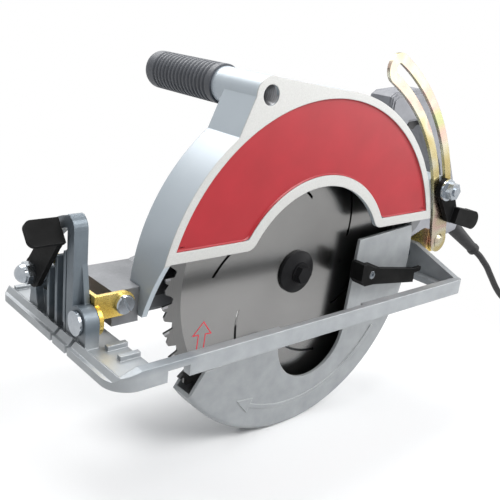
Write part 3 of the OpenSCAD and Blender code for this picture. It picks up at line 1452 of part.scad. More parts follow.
// Front bracket: a plate behind the quadrant, bent back into the tab of the depth pivot
module front_bracket() color("goldenrod") difference() {
    union() {
        along_x(bracket_x, bracket_x + strap_t) {
            translate([0, bevel_z]) circle(boss_pin_r);
            translate([bolt_y, bolt_z]) circle(bevel_hub_r);
            lever_web([0, bevel_z], boss_pin_r, [bolt_y, bolt_z], bevel_hub_r);
            polygon([[-strap_t - bracket_gap, pivot_z - tab_half], [-strap_t - bracket_gap,
                pivot_z + tab_half],
                     [boss_pin_r, pivot_z + tab_half], [boss_pin_r, pivot_z - tab_half]]);
        }
        along_y(-strap_t - bracket_gap, -bracket_gap) {
            translate(pivot) circle(tab_half);
            translate([bracket_x, pivot_z - tab_half]) square([-pivot_fore - bracket_x, tab_half * 2]);
        }
    }
    rod_x(pin_r + seat, bracket_x - over, bracket_x + strap_t + over, 0, bevel_z);
    rod_x(bevel_bolt_r + seat, bracket_x - over, bracket_x + strap_t + over, bolt_y, bolt_z);
    rod_y(screw_shank_r + fit, -strap_t - over, over, -pivot_fore, pivot_z);
}

// Rear bracket: a plate on the rear pin with an ear for the depth arm
module rear_bracket() color("goldenrod") difference() {
    union() {
        along_x(rear_bracket_x, rear_bracket_x + strap_t) {
            translate([0, bevel_z]) circle(ear_r - over);
            polygon([[-ear_near, rivet_z - ear_r], [-ear_near, rivet_z + ear_r],
                     [-ear_near + strap_t * 2, rivet_z + ear_r], [ear_r / 2,
                         bevel_z + ear_r * ear_shares[0]],
                     [0, bevel_z - ear_r * ear_shares[1]]]);
        }
        along_y(-ear_near, strap_t - ear_near) {
            translate(rivet) circle(ear_r);
            translate([rear_bracket_x, rivet_z - ear_r]) square([rivet_x - rear_bracket_x, ear_r * 2]);
        }
    }
    rod_x(rear_pin_r + seat, rear_bracket_x - over, rear_bracket_x + strap_t + over, 0, bevel_z);
    rod_y(rivet_r + seat, -ear_near - over, strap_t - ear_near + over, rivet_x, rivet_z);
}

// Pins of the bevel axis, riveted in the brackets
pin_head_r = 8.5;
rear_pin_head_r = 6.8;
pin_head_t = 2.4;
module bevel_pins() color("lightgray") {
    rod_x(pin_r, -post_front - gap, bracket_x + strap_t + over, 0, bevel_z);
    rod_x(pin_head_r, -post_front - gap - pin_head_t, -post_front - gap, 0, bevel_z);
    rod_x(rear_pin_r, foot_rear - rear_wall_t - gap, rear_bracket_x + strap_t + over, 0, bevel_z);
    rod_x(rear_pin_head_r, foot_rear - rear_wall_t - gap - pin_head_t, foot_rear - rear_wall_t - gap, 0,
        bevel_z);
}

// Bolt of the bevel lock, through the bracket and the quadrant's slot
module bevel_bolt() color("lightgray") {
    rod_x(bevel_bolt_r, -bevel_nut_front, bracket_x + strap_t, bolt_y, bolt_z);
    rod_x(bevel_head_r, bracket_x + strap_t, bracket_x + strap_t * 2, bolt_y, bolt_z);
    ring_x(bevel_washer_r, bevel_bolt_r - eps, -post_front - gap - washer_front_t, -post_front - gap,
           bolt_y, bolt_z);
}
bevel_lever_rear = post_front + gap + washer_front_t + gap;
bevel_lever_front = bevel_lever_rear + bevel_lever_t;
bevel_nut_front = bevel_lever_front + nut_h;

// Bevel lever: a flat arm with a paddle bent forwards
module bevel_lever() color("black") difference() {
    union() {
        along_x(-bevel_lever_front, -bevel_lever_rear) {
            translate([bolt_y, bolt_z]) circle(bevel_hub_r);
            translate([bevel_arm_y, bevel_arm_z]) circle(bevel_arm_r);
            lever_web([bolt_y, bolt_z], bevel_hub_r, [bevel_arm_y, bevel_arm_z], bevel_arm_r);
        }
        // Paddle
        translate([-bevel_lever_rear - paddle_l, bevel_arm_y, bevel_arm_z])
            rotate([paddle_lean, 0, 0]) along_z(bevel_arm_r - bevel_lever_t, bevel_arm_r) paddle_outline();
    }
    rod_x(bevel_bolt_r + fit, -bevel_lever_front - over, over - bevel_lever_rear, bolt_y, bolt_z);
}
paddle_lean = 50;
paddle_half = 9;
paddle_round = 5;
module paddle_outline() {
    translate([0, paddle_round - paddle_half]) square([paddle_l, (paddle_half - paddle_round) * 2]);
    translate([paddle_round, -paddle_half]) square([paddle_l - paddle_round, paddle_half * 2]);
    for (s = [-1, 1])
        translate([paddle_round, s * (paddle_half - paddle_round)]) circle(paddle_round);
}
// The web between two round ends, close to tangent to both
module lever_web(a, ra, b, rb) {
    d = norm(b - a);
    u = (b - a) / d;
    lean = acos((ra - rb) / d);
    n = [for (t = lean * [-1, 1]) [u.x * cos(t) - u.y * sin(t), u.x * sin(t) + u.y * cos(t)]];
    polygon([for (p = [[a, ra, n[0]], [b, rb, n[0]], [b, rb, n[1]], [a, ra, n[1]]])
        p[0] + (p[1] - web_inset) * p[2]]);
}

// Domed cap nut of the bevel lever
module bevel_nut() color("gainsboro") translate([0, bolt_y, bolt_z]) difference() {
    union() {
        along_x(-bevel_lever_front - nut_hex_h, -bevel_lever_front) hexagon(nut_af);
        translate([-bevel_lever_front - nut_hex_h, 0, 0]) rotate([0, -90, 0]) rotate_extrude()
            polygon(concat([[0, 0]], [for (a = [0:arc_step:90]) dome_r * [cos(a), sin(a)]]));
    }
    rod_x(bevel_bolt_r + fit, -bevel_nut_front - fit, over - bevel_lever_front, 0, 0);
}

// Depth arm: its slot is the path of the depth bolt as the foot swings down
function bolt_in_arm(tilt) = turn(turn(depth_bolt_at, pivot, -tilt), rivet, -arm_turn_share * tilt);
arm_path = [for (i = [-1:arm_steps + 1]) bolt_in_arm(depth_angle * i / arm_steps)];
function arm_side(i, w) = let (d = unit(arm_path[i + 1] - arm_path[i - 1])) arm_path[i] + w * [d.y, -d.x];
module arm_band(half) {
    polygon(concat([for (i = [1:arm_steps + 1]) arm_side(i, half)],
                   [for (i = [arm_steps + 1:-1:1]) arm_side(i, -half)]));
    for (i = [1, arm_steps + 1])
        translate(arm_path[i]) circle(half);
}
module depth_arm() color("gold") difference() {
    along_y(-arm_near, strap_t - arm_near) {
        arm_band(arm_w / 2);
        translate(rivet) circle(ear_r);
        lever_web(rivet, ear_r, arm_path[1], arm_w / 2);
    }
    along_y(-arm_near - over, strap_t - arm_near + over) arm_band(slot_half);
    rod_y(rivet_r + fit, -arm_near - over, strap_t - arm_near + over, rivet_x, rivet_z);
}

// Rivet of the depth arm, headed on both sides
module arm_rivet() color("goldenrod") translate([rivet_x, 0, rivet_z])
    turned_y([[0, -arm_near - gap / 2 - rivet_head_t], [rivet_top_r, -arm_near - gap / 2 - rivet_head_t],
              [rivet_head_r, -arm_near - gap / 2], [rivet_r, -arm_near - gap / 2], [rivet_r,
                  strap_t - ear_near],
              [rivet_head_r, strap_t - ear_near], [rivet_head_r, strap_t - ear_near + rivet_head_t],
              [0, strap_t - ear_near + rivet_head_t]]);

// Depth lever: a cranked arm with a finger paddle
module depth_lever() color("black") difference() {
    union() {
        along_y(-depth_lever_near, -depth_lever_far) {
            translate(depth_bolt_at) circle(depth_hub_r);
            translate([depth_tip_x, depth_tip_z]) circle(depth_tip_r);
            lever_web(depth_bolt_at, depth_hub_r, [depth_tip_x, depth_tip_z], depth_tip_r);
        }
        along_y(-depth_lever_near - depth_paddle_out, -depth_lever_far) {
            lever_web([depth_tip_x, depth_tip_z], depth_tip_r, [depth_paddle_x, depth_paddle_z],
                depth_paddle_r);
            translate([depth_paddle_x, depth_paddle_z]) circle(depth_paddle_r);
        }
    }
    rod_y(depth_bolt_r + fit, -depth_lever_near - over, over - depth_lever_far, depth_bolt_x, depth_bolt_z);
}
depth_paddle_out = 6;

module depth_nut() color("gainsboro") translate([depth_bolt_x, 0, depth_bolt_z]) difference() {
    union() {
        rod_y(depth_hub_r, -depth_washer_near, gap + depth_washer_t - depth_washer_near);
        along_y(-depth_washer_near - depth_nut_h, -depth_washer_near) hexagon(nut_af);
    }
    rod_y(depth_bolt_r + fit, -depth_stack - over, over - depth_lever_near);
}

// Foot: a cast plate with a blade opening, rails, ribs and the bevel quadrant

// A rectangle with a rounding of its own at each corner
module rounded(x0, x1, y0, y1, r) difference() {
    translate([x0, y0]) square([x1 - x0, y1 - y0]);
    for (c = [[x0, y0, r[0], 0], [x1, y0, r[1], 90], [x1, y1, r[2], 180], [x0, y1, r[3], 270]])
        if (c[2] > 0)
            translate([c.x, c.y]) rotate(c[3]) difference() {
                translate([-over, -over]) square(c[2] + over);
                translate([c[2], c[2]]) circle(c[2]);
            }
}

module foot() color("darkgray") difference() {
    union() {
        // Plate
        along_z(sole_z, plate_z)
            rounded(-foot_front, foot_rear, -foot_near, foot_far, [corner_r, foot_round / 2, foot_round,
                foot_round]);
        // Near rail with its pad
        along_z(sole_z, rail_z) {
            rounded(rail_front, foot_rear, -foot_near, -rail_in, [0, foot_round / 2, 0, 0]);
            rounded(-pad_front, pad_rear, -rail_in - over, -rail_in + pad_w, [0, 0, pad_w, pad_w]);
        }
        // Lip along the front edge
        intersection() {
            translate([0, foot_far, 0]) rotate([90, 0, 0]) linear_extrude(foot_far + foot_near)
                polygon([[-foot_front, sole_z], [-foot_front, sole_z + lip_toe_h],
                         [lip_crest_x, sole_z + lip_h],
                         [-foot_front + lip_w, sole_z + foot_t], [-foot_front + lip_w, sole_z]]);
            along_z(sole_z, rail_z)
                rounded(-foot_front, foot_rear, -foot_near, foot_far, [corner_r, foot_round / 2,
                    foot_round, foot_round]);
        }
        // Ramp from the lip up to the near rail
        intersection() {
            along_y(-foot_near, -rail_in)
                polygon([[lip_crest_x, sole_z], [lip_crest_x, sole_z + lip_h], [rail_front, rail_z],
                         [rail_front + over, rail_z], [rail_front + over, sole_z]]);
            along_z(sole_z, rail_z)
                rounded(-foot_front, foot_rear, -foot_near, foot_far,
                        [corner_r, foot_round / 2, foot_round, foot_round]);
        }
        // Wall along the motor side of the opening
        box([-opening_front, opening_far, sole_z], [-bay_half - wall_t, opening_far + wall_t, wall_z]);
        box([bay_half + wall_t, opening_far, sole_z], [opening_rear, opening_far + wall_t, wall_z]);
        // Upright lip along the motor edge
        box([-foot_front + lip_w, foot_far - edge_lip_w, sole_z],
            [foot_rear - foot_round, foot_far, sole_z + edge_lip_h]);
        // Ribs of the front pocket and of the motor side
        for (y = front_rib_share * foot_near)
            box([-opening_front - wall_t * 3, -y, sole_z], [-opening_front, rib_t - y, sole_z + lip_h]);
        for (x = side_rib_share * foot_rear)
            box([x, opening_far, sole_z], [x + rib_t, foot_far - edge_lip_w, sole_z + side_rib_h]);
        // Rear wall with the bearing of the rear pin
        along_x(foot_rear - rear_wall_t, foot_rear)
            polygon([[-rear_wall_near, plate_z - over], [-rear_wall_near, rail_z], [-rear_wall_half,
                rear_wall_top],
                     [rear_wall_half, rear_wall_top], [rear_wall_half * 2, plate_z - over]]);
        quadrant();
    }
    // Blade opening and the bay under the gear case
    along_z(sole_z - over, rail_z + over)
        rounded(-opening_front, opening_rear, -rail_in, opening_far, [foot_round, foot_round, foot_round,
            foot_round]);
    along_z(sole_z - over, wall_z + over)
        rounded(-bay_half, bay_half, opening_far - over, bay_far, [0, 0, foot_round / 2, foot_round / 2]);
    // Pad groove
    along_z(rail_z - pad_groove_d, rail_z + over)
        rounded(-pad_front + pad_w, pad_rear - pad_w, -rail_in - pad_groove_w, -rail_in, [0, 0, 0, 0]);
    // Rip guide notch through the near rail, and sight notches in the front edge
    box([-rip_front, -foot_near - over, sole_z - over], [rip_l - rip_front, over - rail_in,
        sole_z + rip_h]);
    for (y = [0, sight_gap])
        box([-foot_front - over, y - sight_w / 2, sole_z - over], [sight_l - foot_front, y + sight_w / 2,
            rail_z]);
    // Pin bearings
    rod_x(pin_r + fit, -post_front - over, over - post_rear, 0, bevel_z);
    rod_x(rear_pin_r + fit, foot_rear - rear_wall_t - over, foot_rear + over, 0, bevel_z);
}
front_rib_share = [0.55, 0.3];
side_rib_share = [-0.72, -0.3, 0.3, 0.72];

// Upright quadrant: leg, rim with its slot, web and buttress ribs
rim_low = -8;
module quadrant() {
    foot_z = plate_z - over;
    y_rim = quadrant_r - quadrant_rim;
    a_top = asin((leg_y1 - post_rib_t) / quadrant_r);
    top_z = bevel_z + quadrant_r * cos(a_top);
    along_x(-post_front, -post_rear) {
        // Boss of the front pin and the leg
        translate([0, bevel_z]) circle(boss_pin_r);
        polygon([[-boss_pin_r, foot_z], [-boss_pin_r, bevel_z], [boss_pin_r, bevel_z], [leg_y1, foot_z]]);
        polygon(concat([[leg_y0, bevel_z]],
                       [for (t = [180:-arc_step:90]) [leg_y1, top_z - leg_w] + leg_w * [cos(t), sin(t)]],
                       [[leg_y1, foot_z], [0, foot_z]]));
        translate([0, bevel_z]) strip(y_rim, quadrant_r, rim_low, 90 - a_top);
        // Block under the rim's far end
        polygon([[y_rim, bevel_z], [quadrant_r, bevel_z], [quadrant_r + post_rib_t, foot_z],
                 [y_rim - post_rib_t, foot_z]]);
        for (s = rib_places_share) let (rib_z = bevel_z + web_r * sin(acos(s)) - post_rib_t)
            translate([s * web_r, 0])
                polygon([[0, foot_z], [0, rib_z], [post_rib_t, rib_z], [post_rib_t, foot_z]]);
    }
    // Web behind the ribs
    along_x(-post_rear - web_t, -post_rear) {
        translate([0, bevel_z]) strip(0, web_r, 0, 90 - a_top);
        polygon([[0, bevel_z], [y_rim, bevel_z], [y_rim, foot_z], [0, foot_z]]);
    }
}

// Spindle lock: a button whose pin enters a hole of the worm wheel
lock_travel = 5;
lock_head_r = 5;
lock_clear = 1.5;
lock_tip = drive_y + wheel_w / 2 + lock_clear;
lock_head_near = cover_boss_far + lock_travel + gap;
lock_head_t = 5;
module lock_button() color("red") translate([0, 0, -lock_r]) {
    rod_y(lock_pin_r, lock_tip, lock_head_near);
    rod_y(lock_head_r, lock_head_near, lock_head_near + lock_head_t);
}

placed() upper_guard();
placed() gear_case();
placed() gear_cover();
placed() gear_cover_screws();
placed() oil_plug();
placed() guard_retainer();
placed() guard_screws();
placed() arbor_bearing();
placed() rear_arbor_bearing();
placed() worm_bearings();
placed() motor_housing();
placed() motor_end_cap();
placed() motor_screws();
placed() field_core();
placed() field_coils();
placed() brush_holders();
placed() carbon_brushes();
placed() brush_caps();
placed() handle_near_half();
placed() handle_far_half();
placed() handle_screws();
placed() switch_body();
placed() side_handle_stud();
placed() side_handle_grip();
placed() depth_bolt();
placed() depth_pivot_screw();
placed() guard_return_spring();
strain_relief();
cord_lead();
cord_coil();
cord_tie();
mains_plug();
plug_pins();
placed() armature_shaft();
placed() armature_core();
placed() commutator();
placed() cooling_fan();
placed() worm();
placed() arbor();
placed() worm_wheel();
placed() inner_washer();
placed() blade();
placed() outer_washer();
placed() arbor_bolt();
placed() lower_guard();
placed() lift_lever();
placed() lift_lever_screw();
placed() front_bracket();
placed() rear_bracket();
placed() bevel_pins();
placed() bevel_bolt();
placed() arm_rivet();
placed() depth_arm();
placed() foot();
placed() bevel_lever();
placed() bevel_nut();
placed() depth_lever();
placed() depth_nut();
placed() trigger();
placed() lock_button();
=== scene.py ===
from math import cos, pi, radians, sin
import bmesh
import bpy
from mathutils import Matrix, Vector


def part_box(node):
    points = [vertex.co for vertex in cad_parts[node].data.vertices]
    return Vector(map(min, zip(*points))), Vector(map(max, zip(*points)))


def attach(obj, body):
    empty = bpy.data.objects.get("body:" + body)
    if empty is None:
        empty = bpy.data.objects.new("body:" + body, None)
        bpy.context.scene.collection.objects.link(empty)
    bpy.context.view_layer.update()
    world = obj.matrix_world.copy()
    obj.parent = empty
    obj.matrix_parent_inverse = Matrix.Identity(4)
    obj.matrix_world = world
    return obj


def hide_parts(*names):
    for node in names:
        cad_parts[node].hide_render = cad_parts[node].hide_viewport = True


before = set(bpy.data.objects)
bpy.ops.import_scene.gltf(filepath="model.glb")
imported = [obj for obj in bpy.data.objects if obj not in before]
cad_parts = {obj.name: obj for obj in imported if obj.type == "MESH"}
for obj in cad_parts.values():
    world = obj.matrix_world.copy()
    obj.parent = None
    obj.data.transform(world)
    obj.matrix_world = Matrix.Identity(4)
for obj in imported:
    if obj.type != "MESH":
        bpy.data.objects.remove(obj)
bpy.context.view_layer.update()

# View. From the front near corner, a little above the guard.
# The saw leans a little in the frame.
scene = bpy.context.scene
scene.view_settings.view_transform = "Standard"


def add(name, data):
    """A new object in the scene."""
    piece = bpy.data.objects.new(name, data)
    scene.collection.objects.link(piece)
    return piece


camera = add("camera", bpy.data.cameras.new("camera"))
camera.location = (-0.43553, -0.40495, 0.33592)
camera.rotation_euler = [radians(a) for a in (71.057, -5.827, -40.364)]
camera.data.lens = 51.159
scene.camera = camera


# Studio. A white floor that keeps a soft shadow and fades to pure white far off, and a white surround.
# Three soft boxes: one high in front, one low on the right whose glare pales the panel, and one behind.
def tree_of(name):
    """A new material with its nodes, and its shader."""
    material = bpy.data.materials.new(name)
    material.use_nodes = True
    return material, material.node_tree, material.node_tree.nodes["Principled BSDF"]


def node(tree, kind, **inputs):
    """A new node of that kind, with these constants or links on its inputs."""
    new = tree.nodes.new("ShaderNode" + kind)
    for key, value in inputs.items():
        socket = new.inputs[key.replace("_", " ")]
        if isinstance(value, bpy.types.NodeSocket):
            tree.links.new(value, socket)
        else:
            socket.default_value = value
    return new


def reckon(tree, operation, *values, kind="Math"):
    """A sum on numbers, or on vectors, of links and constants."""
    new = tree.nodes.new("ShaderNode" + kind)
    new.operation = operation
    for socket, value in zip(new.inputs, values):
        if isinstance(value, bpy.types.NodeSocket):
            tree.links.new(value, socket)
        else:
            socket.default_value = value
    return new.outputs["Value"]


def seen(tree):
    """1 where the camera looks, straight or in a reflection, and 0 for the light on the saw."""
    rays = node(tree, "LightPath").outputs
    straight = reckon(tree, "MAXIMUM", rays["Is Camera Ray"], rays["Is Glossy Ray"])
    return reckon(tree, "MAXIMUM", straight, rays["Is Transmission Ray"])


bm = bmesh.new()
bmesh.ops.create_grid(bm, x_segments=1, y_segments=1, size=6)
mesh = bpy.data.meshes.new("floor")
bm.to_mesh(mesh)
bm.free()
floor = add("floor", mesh)
floor_paint, tree, shader = tree_of("floor_white")
shader.inputs["Base Color"].default_value = (0.88, 0.88, 0.88, 1)
shader.inputs["Roughness"].default_value = 0.9
shader.inputs["Specular IOR Level"].default_value = 0.1
UNDER_BLADE, SHADOW, WHITE = (-0.03, -0.02, 0), 0.13, 0.36
spot = node(tree, "TexCoord").outputs["Object"]
away = reckon(tree, "DISTANCE", spot, UNDER_BLADE, kind="VectorMath")
fade = node(tree, "MapRange", Value=away, From_Min=SHADOW, From_Max=WHITE)
glow = node(tree, "Emission", Color=(1, 1, 1, 1))
both = node(tree, "MixShader", Fac=reckon(tree, "MULTIPLY", seen(tree), fade.outputs[0]))
tree.links.new(shader.outputs[0], both.inputs[1])
tree.links.new(glow.outputs[0], both.inputs[2])
tree.links.new(both.outputs[0], tree.nodes["Material Output"].inputs["Surface"])
mesh.materials.append(floor_paint)

world = bpy.data.worlds.new("studio")
scene.world = world
world.use_nodes = True
tree = world.node_tree
sky = tree.nodes["Background"]
sky.inputs["Color"].default_value = (0.20, 0.21, 0.223, 1)
white = node(tree, "Background", Color=(1, 1, 1, 1))
pick = node(tree, "MixShader", Fac=seen(tree))
tree.links.new(sky.outputs[0], pick.inputs[1])
tree.links.new(white.outputs[0], pick.inputs[2])
tree.links.new(pick.outputs[0], tree.nodes["World Output"].inputs["Surface"])

for name, place, aim, size, watts in (
    ("key", (0.35, -1.2, 1.6), (0.0, 0.0, 0.1), 1.2, 38),
    ("right", (1.35, -1.0, 0.55), (0.1, -0.05, 0.2), 1.5, 15),
    ("back", (0.0, 1.0, 1.7), (0.05, 0.0, 0.1), 1.4, 40),
):
    light = bpy.data.lights.new(name, "AREA")
    light.size = size
    light.energy = watts
    lamp = add(name, light)
    lamp.location = place
    lamp.rotation_euler = (Vector(aim) - Vector(place)).to_track_quat("-Z", "Y").to_euler()


# Cord. A black rubber cable in one length, from the strain relief over the floor into a coil of two layers.
# A strap holds the turns, and a moulded plug with three pins ends it.
def noise(tree, scale, stretch=(1, 1, 1), detail=5.0):
    """Grain in the piece's own coordinates, from 0 to 1."""
    where = node(tree, "TexCoord").outputs["Object"]
    laid = node(tree, "Mapping", Vector=where, Scale=stretch)
    return node(tree, "TexNoise", Vector=laid.outputs[0], Scale=scale, Detail=detail).outputs[0]


def ramp(tree, amount, *stops):
    """The colours of these (place, colour) stops along an amount."""
    new = node(tree, "ValToRGB", Fac=amount)
    elements = new.color_ramp.elements
    while len(elements) < len(stops):
        elements.new(0.5)
    for element, (place, colour) in zip(elements, stops):
        element.position = place
        element.color = (*colour, 1)
    return new.outputs[0]


def edges(tree, radius):
    """Softened normals, and how sharply the surface turns there, from 0 to 1."""
    soft = node(tree, "Bevel", Radius=radius)
    soft.samples = 6
    plain = node(tree, "NewGeometry").outputs["Normal"]
    along = reckon(tree, "DOT_PRODUCT", soft.outputs[0], plain, kind="VectorMath")
    return soft.outputs[0], node(tree, "MapRange", Value=along, From_Min=0.995, From_Max=0.86).outputs[0]


def finish(name, dark, light, metallic, rough, grain, depth,
           stretch=(1, 1, 1), edge=0.0005, wear_and_highlight=None, gloss=0.5):
    """A finish that varies between two colours and two roughnesses, with a grain and softened edges, lightened
    by wear and painted highlight.
    """
    material, tree, shader = tree_of(name)
    cloud = noise(tree, grain / 12, stretch)
    fine = noise(tree, grain, stretch)
    soft, sharp = edges(tree, edge)
    paint = ramp(tree, cloud, (0.3, dark), (0.7, light))
    # Lighter colour on sharp edges: partly real wear, partly painted highlight.
    if wear_and_highlight:
        rubbed_and_lit_edges = reckon(tree, "MULTIPLY", sharp, fine)
        paint = node(tree, "MixRGB", Fac=rubbed_and_lit_edges, Color1=paint, Color2=(*wear_and_highlight, 1)).outputs[0]
    tree.links.new(paint, shader.inputs["Base Color"])
    spread = node(tree, "MapRange", Value=fine, From_Min=0.3, From_Max=0.7, To_Min=rough[0], To_Max=rough[1])
    tree.links.new(spread.outputs[0], shader.inputs["Roughness"])
    shader.inputs["Metallic"].default_value = metallic
    shader.inputs["Specular IOR Level"].default_value = gloss
    bump = node(tree, "Bump", Height=fine, Distance=depth, Strength=0.6, Normal=soft)
    tree.links.new(bump.outputs[0], shader.inputs["Normal"])
    return material


def dress(material, *names):
    """Gives CAD nodes a finish."""
    for name in names:
        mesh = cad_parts[name].data
        mesh.materials.clear()
        mesh.materials.append(material)


CORD, PLUG_REACH = 0.0076, 0.048
lead = [(0.308, 0.0164, 0.0894), (0.320, 0.013, 0.080), (0.328, 0.012, 0.073), (0.337, 0.011, 0.065),
        (0.347, 0.011, 0.055), (0.357, 0.011, 0.045), (0.367, 0.011, 0.035), (0.377, 0.011, 0.026),
        (0.387, 0.011, 0.018), (0.397, 0.011, 0.0115), (0.407, 0.011, 0.0074), (0.417, 0.011, 0.0055),
        (0.427, 0.011, 0.0049), (0.437, 0.011, 0.0049), (0.447, 0.011, 0.0049), (0.457, 0.011, 0.0049)]
TURNS, RINGS, COIL, PITCH, REVERSE = 7.25, 24, 0.060, 0.0084, 0.5
INWARD = (TURNS - REVERSE) / 2
centre = Vector(lead[-1]) + Vector((CORD, -COIL, 0))
coil = []
for i in range(int(TURNS * RINGS) + 1):
    turn = i / RINGS
    share = min(max((turn - INWARD) / REVERSE, 0), 1)
    gone = turn if share == 0 else TURNS - turn if share == 1 else INWARD + REVERSE * (share - share * share)
    angle = pi / 2 - 2 * pi * turn
    radius = COIL - PITCH * gone
    climb = PITCH * share * share * (3 - 2 * share)
    coil.append(centre + Vector((radius * cos(angle), radius * sin(angle), climb)))
tail = [coil[-1] - Vector((0, reach, 0)) for reach in (CORD, PLUG_REACH)]
route = [Vector(p) for p in lead] + coil + tail
curve = bpy.data.curves.new("cord", "CURVE")
curve.dimensions = "3D"
curve.bevel_depth = CORD / 2
curve.bevel_resolution = 4
curve.use_fill_caps = True
curve.resolution_u = 3
spline = curve.splines.new("BEZIER")
spline.bezier_points.add(len(route) - 1)
for knot, place in zip(spline.bezier_points, route):
    knot.co = place
    knot.handle_left_type = knot.handle_right_type = "AUTO"
cord = add("cord", curve)
cable = finish("cable_rubber", (0.012, 0.012, 0.013), (0.024, 0.024, 0.026), 0, (0.5, 0.62), 700, 0.00004,
               gloss=0.3)
curve.materials.append(cable)
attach(cord, "saw")
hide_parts("cord_lead", "cord_coil")
moulded = finish("moulded_rubber", (0.014, 0.014, 0.015), (0.026, 0.026, 0.028), 0, (0.5, 0.64), 900, 0.00005,
                 gloss=0.3)
dress(moulded, "strain_relief", "mains_plug")
strap = finish("strap_weave", (0.02, 0.02, 0.022), (0.06, 0.06, 0.064), 0, (0.8, 0.95), 2600, 0.0002)
dress(strap, "cord_tie")
brass = finish("brass", (0.6, 0.42, 0.16), (0.72, 0.54, 0.24), 1, (0.22, 0.32), 900, 0.00001, edge=0.0002)
dress(brass, "plug_pins", "brush_holders")

# Upper guard. A casting in satin silver paint, with its border ground bright; inside it is darkened, partly
# black paint and partly painted shade.
# Countersunk screws through its back plate hold it to the gear case.
hub = sum(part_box("arbor"), Vector()) / 2
hub.y = sum(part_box("blade"), Vector()).y / 2
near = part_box("upper_guard")[0].y
INSIDE, FACE, BACK = 0.1446, 0.0042, 0.0128
silver, tree, shader = tree_of("guard_silver")
fine = noise(tree, 900)
cloud = noise(tree, 14)
where = node(tree, "TexCoord").outputs["Object"]
place = node(tree, "SeparateXYZ", Vector=where)
face = node(tree, "MapRange", Value=place.outputs["Y"], From_Min=near + 0.0002, From_Max=near + 0.0008,
            To_Min=1.0, To_Max=0.0)
flat = node(tree, "CombineXYZ", X=place.outputs["X"], Z=place.outputs["Z"])
reach = reckon(tree, "DISTANCE", flat.outputs[0], (hub.x, 0, hub.z), kind="VectorMath")
within = node(tree, "MapRange", Value=reach, From_Min=INSIDE + 0.0004, From_Max=INSIDE)
behind = node(tree, "MapRange", Value=place.outputs["Y"], From_Min=near + FACE - 0.0008, From_Max=near + FACE)
before = node(tree, "MapRange", Value=place.outputs["Y"], From_Min=hub.y + BACK, From_Max=hub.y + BACK - 0.0006)
hollow = reckon(tree, "MULTIPLY", within.outputs[0], behind.outputs[0])
hollow = reckon(tree, "MULTIPLY", hollow, before.outputs[0])
paint = ramp(tree, cloud, (0.3, (0.40, 0.45, 0.49)), (0.7, (0.46, 0.51, 0.55)))
ground = ramp(tree, fine, (0.3, (0.45, 0.45, 0.435)), (0.7, (0.52, 0.52, 0.505)))
outer = node(tree, "MixRGB", Fac=face.outputs[0], Color1=paint, Color2=ground)
# Inside the rim and behind the face: near-black, for black paint and painted shade.
black_paint_and_shade = ramp(tree, fine, (0.3, (0.02, 0.02, 0.021)), (0.7, (0.035, 0.035, 0.036)))
both = node(tree, "MixRGB", Fac=hollow, Color1=outer.outputs[0], Color2=black_paint_and_shade)
tree.links.new(both.outputs[0], shader.inputs["Base Color"])
spread = node(tree, "MapRange", Value=fine, From_Min=0.3, From_Max=0.7, To_Min=0.36, To_Max=0.46)
tree.links.new(spread.outputs[0], shader.inputs["Roughness"])
shader.inputs["Metallic"].default_value = 0.25
soft, sharp = edges(tree, 0.0009)
bump = node(tree, "Bump", Height=fine, Distance=0.00003, Strength=0.6, Normal=soft)
tree.links.new(bump.outputs[0], shader.inputs["Normal"])
dress(silver, "upper_guard")


# Panel. Red enamel that fills the floor of the guard's recess.
# It lines the floor and runs up the wall in a small fillet.
def make(name, bm, material, body):
    """A finished piece from a bmesh, riding on its body."""
    mesh = bpy.data.meshes.new(name)
    bm.to_mesh(mesh)
    bm.free()
    mesh.materials.append(material)
    piece = add(name, mesh)
    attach(piece, body)
    return piece


red = finish("red_enamel", (0.295, 0.004, 0.010), (0.345, 0.006, 0.014), 0, (0.28, 0.36), 500, 0.00002,
             gloss=0.42)
INNER, OUTER, LOWER_EDGE, SUNK = 0.0857, 0.1431, 0.0432, 0.0018
KNEE_ROUND, WALL, FILLET, LIP = 0.0045, 0.0018, 0.0009, 0.0004
bm = bmesh.new()
ends = [bm.verts.new((hub.x + r, near + SUNK, hub.z)) for r in (INNER, OUTER)]
first = bm.edges.new(ends)
bmesh.ops.spin(bm, geom=[*ends, first], cent=hub, axis=(0, -1, 0), angle=pi, steps=96)
bmesh.ops.remove_doubles(bm, verts=bm.verts, dist=1e-6)
bmesh.ops.bisect_plane(bm, geom=[*bm.verts, *bm.edges, *bm.faces], plane_co=hub + Vector((0, 0, LOWER_EDGE)),
                       plane_no=(0, 0, -1), clear_outer=True)
aside = (INNER ** 2 - LOWER_EDGE ** 2) ** 0.5
knees = [Vector((hub.x + x, near + SUNK, hub.z + LOWER_EDGE)) for x in (-aside, aside)]
tips = [v for v in bm.verts if min((v.co - k).length for k in knees) < 0.0002]
crowd = [v for v in bm.verts if v not in tips and min((v.co - k).length for k in knees) < KNEE_ROUND + 0.001]
bmesh.ops.dissolve_verts(bm, verts=crowd)
bmesh.ops.bevel(bm, geom=tips, offset=KNEE_ROUND, segments=5, profile=0.5, affect="VERTICES", material=-1)
bmesh.ops.recalc_face_normals(bm, faces=bm.faces)
wall = bmesh.ops.inset_region(bm, faces=bm.faces[:], thickness=WALL, use_boundary=True, use_even_offset=True)
for v in bm.verts:
    if v.is_boundary:
        v.co.y = near + LIP
fold = [e for e in bm.edges if not e.is_boundary and sum(f in wall["faces"] for f in e.link_faces) == 1]
bmesh.ops.bevel(bm, geom=fold, offset=FILLET, segments=3, profile=0.5, affect="EDGES", material=-1)
for f in bm.faces:
    f.smooth = abs(f.normal.y) < 0.999
make("guard_panel", bm, red, "saw")

